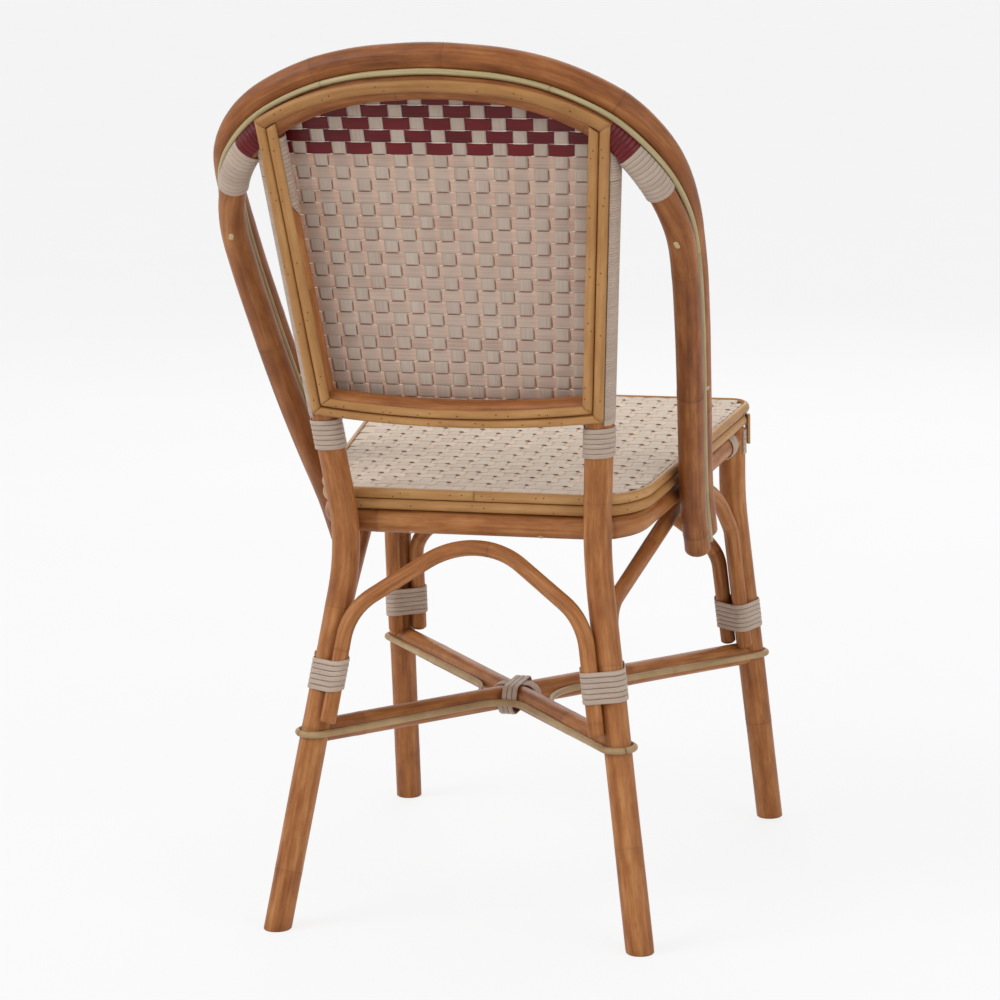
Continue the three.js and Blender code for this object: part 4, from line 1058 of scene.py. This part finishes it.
level_axes = [ACROSS, DEPTHWAYS]
for end, leg, arch in (("rear", rear_leg, rear_arch), ("front", front_leg, front_arch)):
    for name, side in SIDES:
        cross = cross_foot(arch)
        poles = [
            (0, 0, widened(leg_radius)),
            (cross[0] * side, cross[1], widened(arch_radius)),
            (0, arch_spacing * leg.depthways, widened(arch_radius)),
        ]
        base, advance = placed(leg.at(leg.binding), side), placed(leg.direction, side)
        binding(f"leg_{end}_{name}", f"leg_binding_{end}_{name}", 6, base, advance, poles, level_axes)

post_binding_drop = 35
for name, side in SIDES:
    base = placed(post_point(back_rail_height - post_binding_drop), side)
    poles = [(0, 0, leg_radius / post_direction[2] + winding_clear)]
    advance = placed(post_direction, side)
    binding(f"post_{name}", f"post_binding_{name}", 6, base, advance, poles, level_axes)

rail_direction = unit(rail_path[1] - rail_path[0])
rail_bound_at = leg_radius + wrap_thickness + strand_width + 1.5 * strand_pitch
for name, side in SIDES:
    advance = placed(rail_direction, side)
    base = placed(rail_path[0] + rail_direction * rail_bound_at, side)
    across = unit(np.cross(advance, UP))
    axes = [unit(np.cross(across, advance)), across]
    poles = [(0, 0, rail_radius + winding_clear)]
    binding(f"rail_{name}", f"rail_binding_{name}", 3, base, advance, poles, axes)

crossing_angle = math.acos(unit(ankles[0] - crossing) @ DEPTHWAYS)


def lashing_poles(half_angle, lift):
    radius = stretcher_radius + winding_clear + lift
    shift = lashed_reach(half_angle) + lift - stretcher_radius
    return [(shift, 0, radius), (-shift, 0, radius)]


for name, advance, across, poles in (
    ("across", DEPTHWAYS, ACROSS, lashing_poles(math.pi / 2 - crossing_angle, 0)),
    ("along", ACROSS, DEPTHWAYS, lashing_poles(crossing_angle, lashing_lift)),
):
    axes = [across, np.cross(advance, across)]
    binding(name, f"lashing_{name}", 3, crossing, advance, poles, axes, -0.4)

# Wraps of strand over one side of a pole

# The rounded section of one strand: shares of the pitch and of the thickness
rib_start_share, rib_end_share = 0.02, 0.98
rib_shares = (
    (rib_start_share, 0.72), (0.12, 0.94), (0.35, 1), (0.65, 1), (0.88, 0.94), (rib_end_share, 0.72),
    (rib_end_share, 0), (rib_start_share, 0),
)
rib_step = 0.9 * MM
shell_step_degrees = 8


def ribbed_shell(build, route, radius, degrees, thickness, pitch, seed, edge=None):
    """Strands laid side by side round part of a pole. An edge says where they start at an angle."""
    s = lengths(route.points)
    total = s[-1]
    bands = max(1, round(total / pitch))
    pitch = total / bands
    rng = random.Random(seed)
    steps = max(6, int((degrees[1] - degrees[0]) / shell_step_degrees))
    angles = np.radians(np.linspace(*degrees, steps + 1))
    lifts = [edge(math.degrees(a)) if edge else 0 for a in angles]
    columns, count = len(angles), len(rib_shares)
    for b in range(bands):
        tone = rng.uniform(-1, 1)
        if all((b + rib_end_share) * pitch < lift for lift in lifts):
            continue
        verts, faces, uvs = [], [], []
        for share, height in rib_shares:
            r = radius + clearance + thickness * height
            for a, lift in zip(angles, lifts):
                place = min(max((b + share) * pitch, lift), total)
                c, n, m = (interpolated(place, s, v) for v in (route.points, route.normals, route.binormals))
                verts.append(c + n * r * math.cos(a) + m * r * math.sin(a))
        for i in range(count):
            k = (i + 1) % count
            for j in range(columns - 1):
                faces.append([i * columns + j, i * columns + j + 1, k * columns + j + 1, k * columns + j])
                u0, u1 = angles[j] * radius * MM, angles[j + 1] * radius * MM
                v0, v1 = i * rib_step, (i + 1) * rib_step
                uvs.append([(v0, u0), (v0, u1), (v1, u1), (v1, u0)])
        for j in (0, columns - 1):
            ends = [i * columns + j for i in range(count)]
            faces.append(ends if j else ends[::-1])
            uvs.append([(0, 0)] * count)
        build.add(verts, faces, uvs, tone * 0.5)


def leg_shell(build, side, ends, spacing, degrees, thickness, pitch, seed, edge=None):
    """Strands round a straight stretch of a leg, with ends and degrees as on the left side."""
    start, stop = degrees
    turned = degrees if side > 0 else (180 - stop, 180 - start)
    route = Route(resampled(placed(ends, side), spacing), ACROSS)
    ribbed_shell(build, route, leg_radius, turned, thickness, pitch, seed + side, edge)
    return build


# Distances below the lower rail of the back, the hoop's top or the front leg's top
wrap_foot_drop, wrap_head_drop = 14, 87
leg_wrap_length, leg_wrap_drop = 26, 2
post_wrap_ends = [post_point(back_rail_height - wrap_foot_drop), post_point(hoop_top - wrap_head_drop)]
leg_wrap_top = front_corners[2] - UP * leg_wrap_drop
leg_wrap_ends = [leg_wrap_top - UP * leg_wrap_length, leg_wrap_top]
fine_pitch = 2.7
for kind, ends, spacing, degrees, pitch, seed in (
    ("post", post_wrap_ends, 6, (-86, 60), fine_pitch, 3),
    ("leg", leg_wrap_ends, 4, (-116, 26), bound_width, 7),
):
    for name, side in SIDES:
        build = leg_shell(Build(), side, ends, spacing, degrees, wrap_thickness, pitch, seed)
        build.shown(f"wrap_{kind}_{name}", pale, "pale_strand", f"{kind}_wrap_{name}")

# A strand holds the top of each post, and ends in a point on its inner side.
strap_drops, strap_side_drops = (132, 52), (86.5, 54)
strap_ends = [post_point(hoop_top - drop) for drop in strap_drops]
strap_side_ends = [post_point(hoop_top - drop) for drop in strap_side_drops]
strap_slant, strap_thickness, strap_pitch = 0.34, 1.1, 4.4


def pointed(middle):
    """The edge of a strap that starts further up, the further an angle is from its middle."""
    return lambda angle: abs((angle - middle + 180) % 360 - 180) * strap_slant


for name, side in SIDES:
    edge = pointed(180 if side > 0 else 0)
    build = Build()
    leg_shell(build, side, strap_ends, 4, (62, 272), strap_thickness, strap_pitch, 21, edge)
    leg_shell(build, side, strap_side_ends, 4, (-86, 61), wrap_thickness, fine_pitch, 24)
    build.shown(f"strap_post_{name}", pale, "pale_strand")

hoop_wrap_pitch = 4.6
for kind, degrees, drops, material, slot in (
    ("dark", (28, 152), (62, 43), maroon, "dark_strand"),
    ("pale", (50, 310), (101, 62), pale, "pale_strand"),
):
    for name, side in SIDES:
        first, last = sorted(hoop_index(hoop_top - drop, side) for drop in drops)
        route = hoop_route.beside(0, 0, first, last)
        build = Build()
        radius = hoop_radius + clearance
        ribbed_shell(build, route, radius, degrees, wrap_thickness, hoop_wrap_pitch, 11 + side)
        build.shown(f"wrap_hoop_{kind}_{name}", material, slot, f"hoop_wrap_{kind}_{name}")

# Woven sheets

band_thickness, rib_height, plate_thickness = 0.6, 0.09, 0.3


def band(build, points, axes, width, heights, tone, ridges=4, trim=None):
    """A wide flat strand of fine ribs. The heights are those of its middle above the sheet.

    Where it is trimmed, its edges stay between the two offsets given for each point.
    """
    across, normal = axes
    points = np.asarray(points, float)
    lifted = points + normal * np.asarray(heights)[:, None]
    outline = []
    for k in range(2 * ridges + 1):
        share = k / ridges - 1
        outline.append((share * width / 2, band_thickness / 2 * (1 - share**4) + rib_height * (k % 2)))
    outline += [(width / 2, -band_thickness / 3), (-width / 2, -band_thickness / 3)]
    section = np.array(outline)
    sideways = np.repeat(section[None, :, :1], len(points), 0)
    if trim is not None:
        sideways = np.clip(sideways, trim[0][:, None, None], trim[1][:, None, None])
    verts = lifted[:, None] + across * sideways + normal * section[None, :, 1:]
    around = np.append(section[:, 0], section[0, 0]) * MM
    build.add_swept(verts, lengths(lifted) * MM, around, tone, shift=tone * 3)


def wave(phase, sharp):
    """From +1 to -1 and back over a phase of two, flatter at its ends than a cosine."""
    return np.tanh(sharp * np.cos(np.pi * phase)) / math.tanh(sharp)


def plate(build, centre, axes, width, height, lift, tone=0.0):
    """A thin plate with pointed ends, for the turned edges of a weave, the painted shade in its slits and
    the painted highlights beside them.
    """
    across, up, normal = axes
    outline = ((-0.5, 0), (-0.3, 0.5), (0.3, 0.5), (0.5, 0), (0.3, -0.5), (-0.3, -0.5))
    verts = [
        centre + across * (x * width) + up * (y * height) + normal * level
        for level in (lift, lift - plate_thickness)
        for x, y in outline
    ]
    n = len(outline)
    faces = [list(range(n)), list(range(n, 2 * n))[::-1]]
    faces += [[i, n + i, n + (i + 1) % n, (i + 1) % n] for i in range(n)]
    uvs = [[(verts[i][0] * MM, verts[i][2] * MM) for i in face] for face in faces]
    build.add(verts, faces, uvs, tone)


# Woven back: columns fan out with the posts, and rows cross them, the upper ones dark.
back_pitch, back_column_width, back_lift = 12.6, 14.0, 0.36
middle_column_share, column_pitch_share, last_column_share = 0.0175, 0.1218, 0.985
panel_behind = 1.5
panel_depth = leg_radius + clearance + panel_behind
panel_top_gap, panel_side_gap, hoop_upper_part = 2, 0.7, 300
dark_from, row_gap, row_margin = 408.3, 0.25, 1
row_step, column_step, half_step, least_half = 1.9, 1.8, 0.5, 5
row_sharp, column_sharp, seat_column_sharp = 1.5, 1.9, 1.6
columns_aside, column_over, column_gap, crossing_margin = 8, 60, 0.6, 8
# Turned edges; dark plates of painted shade in the slits below and beside the crossings; and flecks of
# painted highlight at their ends
turned_extra, turned_height, turned_lift = 5, 1.5, 0.95
slit_short, slit_height, slit_lift, slit_rise = 1, 1.0, 0.82, 0.35
side_slit_share, side_slit_width, side_slit_lift = 0.86, 1.1, 0.5
fleck_aside, fleck_height, fleck_lift, glint_tone = 1.5, 1.2, 0.92, 0.8
panel_foot = post_foot[1] - rail_radius
back_behind = -back_front


def panel_top(x):
    """How high the sheet reaches under the hoop at a place across."""
    inside = hoop_arc[np.argsort(hoop_arc[:, 0])]
    upper = inside[inside[:, 1] > hoop_upper_part]
    return float(np.interp(x, upper[:, 0], upper[:, 1])) - panel_top_gap


light_rows, dark_rows, columns_build, edges_and_glint_plates, shade_slit_plates = (Build() for _ in range(5))
rng = random.Random(5)
row_first = math.floor((panel_foot - back_rail_sag - dark_from) / back_pitch)
row_last = int((post_head[1] - dark_from) / back_pitch) + 1
for row in range(row_first, row_last + 1):
    s = dark_from + (row + 0.5) * back_pitch
    upper, lower = s + back_pitch / 2 - row_margin, s - back_pitch / 2 + row_margin
    if upper < panel_foot - back_rail_sag or lower > panel_top(0):
        continue
    half = post_line(s) - panel_side_gap
    if upper < panel_foot:
        half *= math.sqrt(1 - (panel_foot - upper) / back_rail_sag)
    while half > least_half and panel_top(half) < lower:
        half -= half_step
    xs = np.linspace(-half, half, max(8, int(2 * half / row_step)))
    place = (xs / post_line(s) - middle_column_share) / column_pitch_share
    heights = -back_lift * wave(place + row + 1, row_sharp)
    points = on_back([(x, s) for x in xs], panel_depth)
    tops = np.array([panel_top(x) - s for x in xs])
    feet = panel_foot - sag_at(xs / post_line(panel_foot)) - s
    target = dark_rows if row >= 0 else light_rows
    axes = (back_up, back_behind)
    tone = rng.uniform(-0.5, 0.5)
    band(target, points, axes, back_pitch - row_gap, heights, tone, trim=(feet, tops))
back_axes, upright_axes = (ACROSS, back_up, back_behind), (back_up, ACROSS, back_behind)
for number in range(-columns_aside, columns_aside + 1):
    share = middle_column_share + column_pitch_share * number
    if abs(share) > last_column_share:
        continue
    low = panel_foot - sag_at(share) + 1
    top = low
    while top < post_head[1] + column_over and panel_top(share * post_line(top)) > top:
        top += 1
    ups = np.arange(low, top, column_step)
    heights = back_lift * wave((ups - dark_from) / back_pitch - 0.5 + number + 1, column_sharp)
    points = on_back([(share * post_line(s), s) for s in ups], panel_depth)
    width = min(back_column_width, 2 * (1 - abs(share)) * post_line(low) - column_gap)
    axes = (ACROSS, back_behind)
    band(columns_build, points, axes, width, heights, rng.uniform(-0.5, 0.5), 3)
    for row in range(row_first, row_last + 1):
        s = dark_from + (row + 0.5) * back_pitch
        if (number + row) % 2 == 0 or not low + crossing_margin < s < top - crossing_margin:
            continue
        x, lower = share * post_line(s), s - back_pitch / 2 + slit_rise
        centre = back_point(x, lower, panel_depth)
        if row > 0:
            plate(edges_and_glint_plates, centre, back_axes, width + turned_extra, turned_height, turned_lift)
            continue
        # A dark plate of painted shade in the slit below the crossing, and another in the slit beside it.
        plate(shade_slit_plates, centre, back_axes, width - slit_short, slit_height, slit_lift)
        beside = back_point(x - width / 2 - slit_rise, s, panel_depth)
        tall = back_pitch * side_slit_share
        plate(shade_slit_plates, beside, upright_axes, tall, side_slit_width, side_slit_lift)
        # A fleck of painted highlight at the end of the crossing.
        fleck = back_point(x + width / 2 + rng.uniform(0, fleck_aside), lower, panel_depth)
        fleck_width = rng.uniform(2, 4.5)
        plate(edges_and_glint_plates, fleck, back_axes, fleck_width, fleck_height, fleck_lift, glint_tone)
columns_build.shown("weave_back_columns", warp, "pale_strand", "back_weave")
light_rows.shown("weave_back_rows", weft, "pale_strand")
dark_rows.shown("weave_back_rows_dark", maroon, "dark_strand")
edges_and_glint_plates.shown("weave_back_edges_and_painted_glints", bright, "pale_strand")
shade_slit_plates.shown("weave_back_painted_shade_slits", slit_shade, "pale_strand")

# Woven seat: a wider weave, pulled flat, with a dark plate of painted shade in a slit beside every second
# crossing, and a fleck of painted highlight beside each.
seat_row_pitch, seat_column_pitch, seat_column_width, seat_lift = 13.0, 20.0, 13.6, 0.32
seat_row_gap, seat_row_step, seat_column_step, seat_columns_aside = 0.15, 2.4, 2.1, 10
deck_gap, deck_side_gap, narrowing_share, slit_margin, column_margin = 0.8, 0.3, 0.45, 12, 7.2
slit_aside, slit_plate_lift, fleck_past, fleck_back = 5.5, 0.72, 2.2, 1.4
fleck_size, fleck_plate_lift = (3.4, 2.0), 0.74
deck_inset = edging_thickness + clearance + deck_gap
deck_outline = np.array(seat_outline(deck_inset))
deck_mid = 1.5


def deck_half(y):
    """Half width of the woven seat at a depth."""
    best = 0.0
    for a, b in zip(deck_outline[:-1], deck_outline[1:]):
        if min(a[1], b[1]) <= y <= max(a[1], b[1]) and abs(b[1] - a[1]) > 1e-9:
            best = max(best, a[0] + (b[0] - a[0]) * (y - a[1]) / (b[1] - a[1]))
    return best


rows_build, columns_build, shade_slit_plates, painted_glint_plates = (Build() for _ in range(4))
front, rear = seat_front_y + deck_inset, seat_rear_y - deck_inset
count = int((rear - front) / seat_row_pitch)
start = front + (rear - front - count * seat_row_pitch) / 2
seat_axes = (ACROSS, seat_rearward, seat_normal)
for row in range(count):
    y = start + (row + 0.5) * seat_row_pitch
    reach = seat_row_pitch * narrowing_share
    half = min(deck_half(y - reach), deck_half(y + reach)) - deck_side_gap
    xs = np.linspace(-half, half, int(2 * half / seat_row_step))
    heights = -seat_lift * wave(xs / seat_column_pitch + row, row_sharp)
    points = [seat_point((x, y), deck_mid) for x in xs]
    axes = (seat_rearward, seat_normal)
    band(rows_build, points, axes, seat_row_pitch - seat_row_gap, heights, rng.uniform(-0.5, 0.5))
    for column in range(-seat_columns_aside, seat_columns_aside + 1):
        x = column * seat_column_pitch
        if (column + row) % 2 or abs(x) > half - slit_margin or not 0 < row < count - 1:
            continue
        # A dark plate of painted shade in the slit beside this crossing.
        at = (x - slit_aside + rng.uniform(-1, 1), y - seat_row_pitch / 2 + rng.uniform(-0.4, 0.4))
        centre = seat_point(at, deck_mid)
        wide, deep = rng.uniform(3.4, 5.8), rng.uniform(2.4, 3.8)
        plate(shade_slit_plates, centre, seat_axes, wide, deep, slit_plate_lift)
        # A fleck of painted highlight beside the slit.
        beside = seat_point((at[0] - wide / 2 - fleck_past, at[1] + fleck_back), deck_mid)
        plate(painted_glint_plates, beside, seat_axes, *fleck_size, fleck_plate_lift, glint_tone)
for column in range(-seat_columns_aside, seat_columns_aside + 1):
    x = column * seat_column_pitch
    ys = np.arange(front + 0.5, rear, seat_column_step)
    ys = np.array([y for y in ys if deck_half(y) > abs(x) + column_margin])
    if len(ys) < 10:
        continue
    heights = seat_lift * wave((ys - start) / seat_row_pitch - 0.5 + column, seat_column_sharp)
    points = [seat_point((x, y), deck_mid) for y in ys]
    axes = (ACROSS, seat_normal)
    band(columns_build, points, axes, seat_column_width, heights, rng.uniform(-0.5, 0.5), 3)
rows_build.shown("weave_seat_rows", seat_pale, "seat_weave", "seat_weave")
columns_build.shown("weave_seat_columns", seat_pale, "seat_weave")
shade_slit_plates.shown("weave_seat_painted_shade_slits", painted_shade_seat, "seat_weave")
painted_glint_plates.shown("weave_seat_painted_glints", bright, "seat_weave")

# The seat frame under the weave keeps its own mesh, and looks like the poles.
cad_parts["seat_frame"].data.materials.clear()
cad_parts["seat_frame"].data.materials.append(pole)

# Camera

lens, sensor, picture = 144, 36, 1000
camera_distance = 4143
yaw, pitch, roll = math.radians(15.76), math.radians(10.79), math.radians(-0.93)
azimuth = math.pi + yaw
toward = vec(math.sin(azimuth) * math.cos(pitch), -math.cos(azimuth) * math.cos(pitch), math.sin(pitch))
eye = vec(17.3, 0, 399.4) + SHIFT + toward * camera_distance
right = unit(np.cross(-toward, UP))
above = np.cross(right, -toward)
right, above = (
    right * math.cos(roll) + above * math.sin(roll),
    -right * math.sin(roll) + above * math.cos(roll),
)
camera_data = bpy.data.cameras.new("camera")
camera_data.lens, camera_data.sensor_width = lens, sensor
camera_data.clip_start, camera_data.clip_end = 0.1, 40
camera = bpy.data.objects.new("camera", camera_data)
turn = Matrix([right, above, toward]).transposed().to_4x4()
camera.matrix_world = Matrix.Translation(Vector(eye * MM)) @ turn
bpy.context.scene.collection.objects.link(camera)
bpy.context.scene.camera = camera

# Pins and nails


def seen_at(px, py, piece):
    """Where the line of sight through a pixel meets a piece, with the surface's direction."""
    sideways, upward = px - picture / 2, picture / 2 - py
    sight = Vector(-toward * (lens / sensor * picture) + right * sideways + above * upward)
    mesh = piece.data
    tree = BVHTree.FromPolygons([v.co for v in mesh.vertices], [p.vertices for p in mesh.polygons])
    place, normal, _, _ = tree.ray_cast(Vector(eye * MM), sight.normalized())
    return np.array(place) / MM - SHIFT, np.array(normal)


def round_head(build, place, normal, radius, height, sides):
    """A low round head, square to the surface."""
    side = unit(np.cross(normal, UP if abs(normal[2]) < 0.9 else ACROSS))
    other = np.cross(normal, side)
    ring_shares = ((1.0, -0.3), (1.0, 0.45), (0.75, 0.85), (0.3, 1.0))
    verts = []
    for share, lift in ring_shares:
        for i in range(sides):
            a = 2 * math.pi * i / sides
            spoke = side * math.cos(a) + other * math.sin(a)
            verts.append(place + spoke * radius * share + normal * height * lift)
    verts.append(place + normal * height)
    faces = []
    for r in range(len(ring_shares) - 1):
        for i in range(sides):
            k = (i + 1) % sides
            faces.append([r * sides + i, r * sides + k, (r + 1) * sides + k, (r + 1) * sides + i])
    last = (len(ring_shares) - 1) * sides
    faces += [[last + i, last + (i + 1) % sides, last + sides] for i in range(sides)]
    build.add(verts, faces, [[(0, 0)] * len(f) for f in faces])


nail_radius, nail_height, pin_radius, pin_height = 0.75, 0.28, 2.6, 0.5
build = Build()
for place, normal in nail_places:
    round_head(build, place, normal, nail_radius, nail_height, 8)
build.shown("nails", nail)

pin_pixels = (
    (231, 238, "hoop_inner"),
    (279, 376, "hoop_outer"),
    (676, 244, "hoop_inner"),
    (686, 387, "hoop_outer"),
    (412, 532, "seat_rail_bent"),
)
build = Build()
for px, py, node in pin_pixels:
    found = seen_at(px, py, carriers[node])
    for _, side in SIDES:
        place, normal = (placed(v, side) for v in found)
        round_head(build, place, normal, pin_radius, pin_height, 16)
build.shown("pins", pin)

# Floor, light and world

floor_reach = 14
floor_shader = speckled_shader("floor", 3, (236, 236, 236), (242, 242, 242), Roughness=0.9)
glow = floor_shader.node("ShaderNodeEmission", {"Color": (1, 1, 1, 1), "Strength": 1.0})
surface = floor_shader.tree.nodes["Material Output"].inputs["Surface"]
floor_shader.show_white(floor_shader.principled, glow, 0.8, surface)
floor_mesh = bpy.data.meshes.new("floor")
floor_corners = [(x * floor_reach, y * floor_reach, 0) for x, y in ((-1, -1), (1, -1), (1, 1), (-1, 1))]
floor_mesh.from_pydata(floor_corners, [], [[0, 1, 2, 3]])
floor_mesh.materials.append(floor_shader.material)
floor = bpy.data.objects.new("floor", floor_mesh)
bpy.context.scene.collection.objects.link(floor)

world = bpy.data.worlds.new("world")
bpy.context.scene.world = world
world.use_nodes = True
sky = Nodes(world.node_tree)
ambient = sky.tree.nodes["Background"]
for socket, value in (("Color", (1, 1, 1, 1)), ("Strength", 0.55)):
    sky.feed(ambient.inputs[socket], value)
white = sky.node("ShaderNodeBackground", {"Color": (1, 1, 1, 1), "Strength": 1.0})
sky.show_white(ambient, white, 1.0, sky.tree.nodes["World Output"].inputs["Surface"])

# Lights: place, size and power. They aim at the middle of the chair.
aim = Vector((0, 0, 0.45))
for name, place, size, power in (
    ("key", (2.4, 2.2, 2.9), 2.2, 62),
    ("fill", (-2.8, 1.8, 1.9), 2.6, 30),
    ("front", (0.3, -3.0, 2.2), 2.4, 26),
):
    data = bpy.data.lights.new(name, "AREA")
    data.shape = "SQUARE"
    data.size, data.energy = size, power
    light = bpy.data.objects.new(name, data)
    light.location = place
    light.rotation_mode = "QUATERNION"
    light.rotation_quaternion = (aim - Vector(place)).to_track_quat("-Z", "Y")
    bpy.context.scene.collection.objects.link(light)

bpy.context.scene.view_settings.view_transform = "Standard"
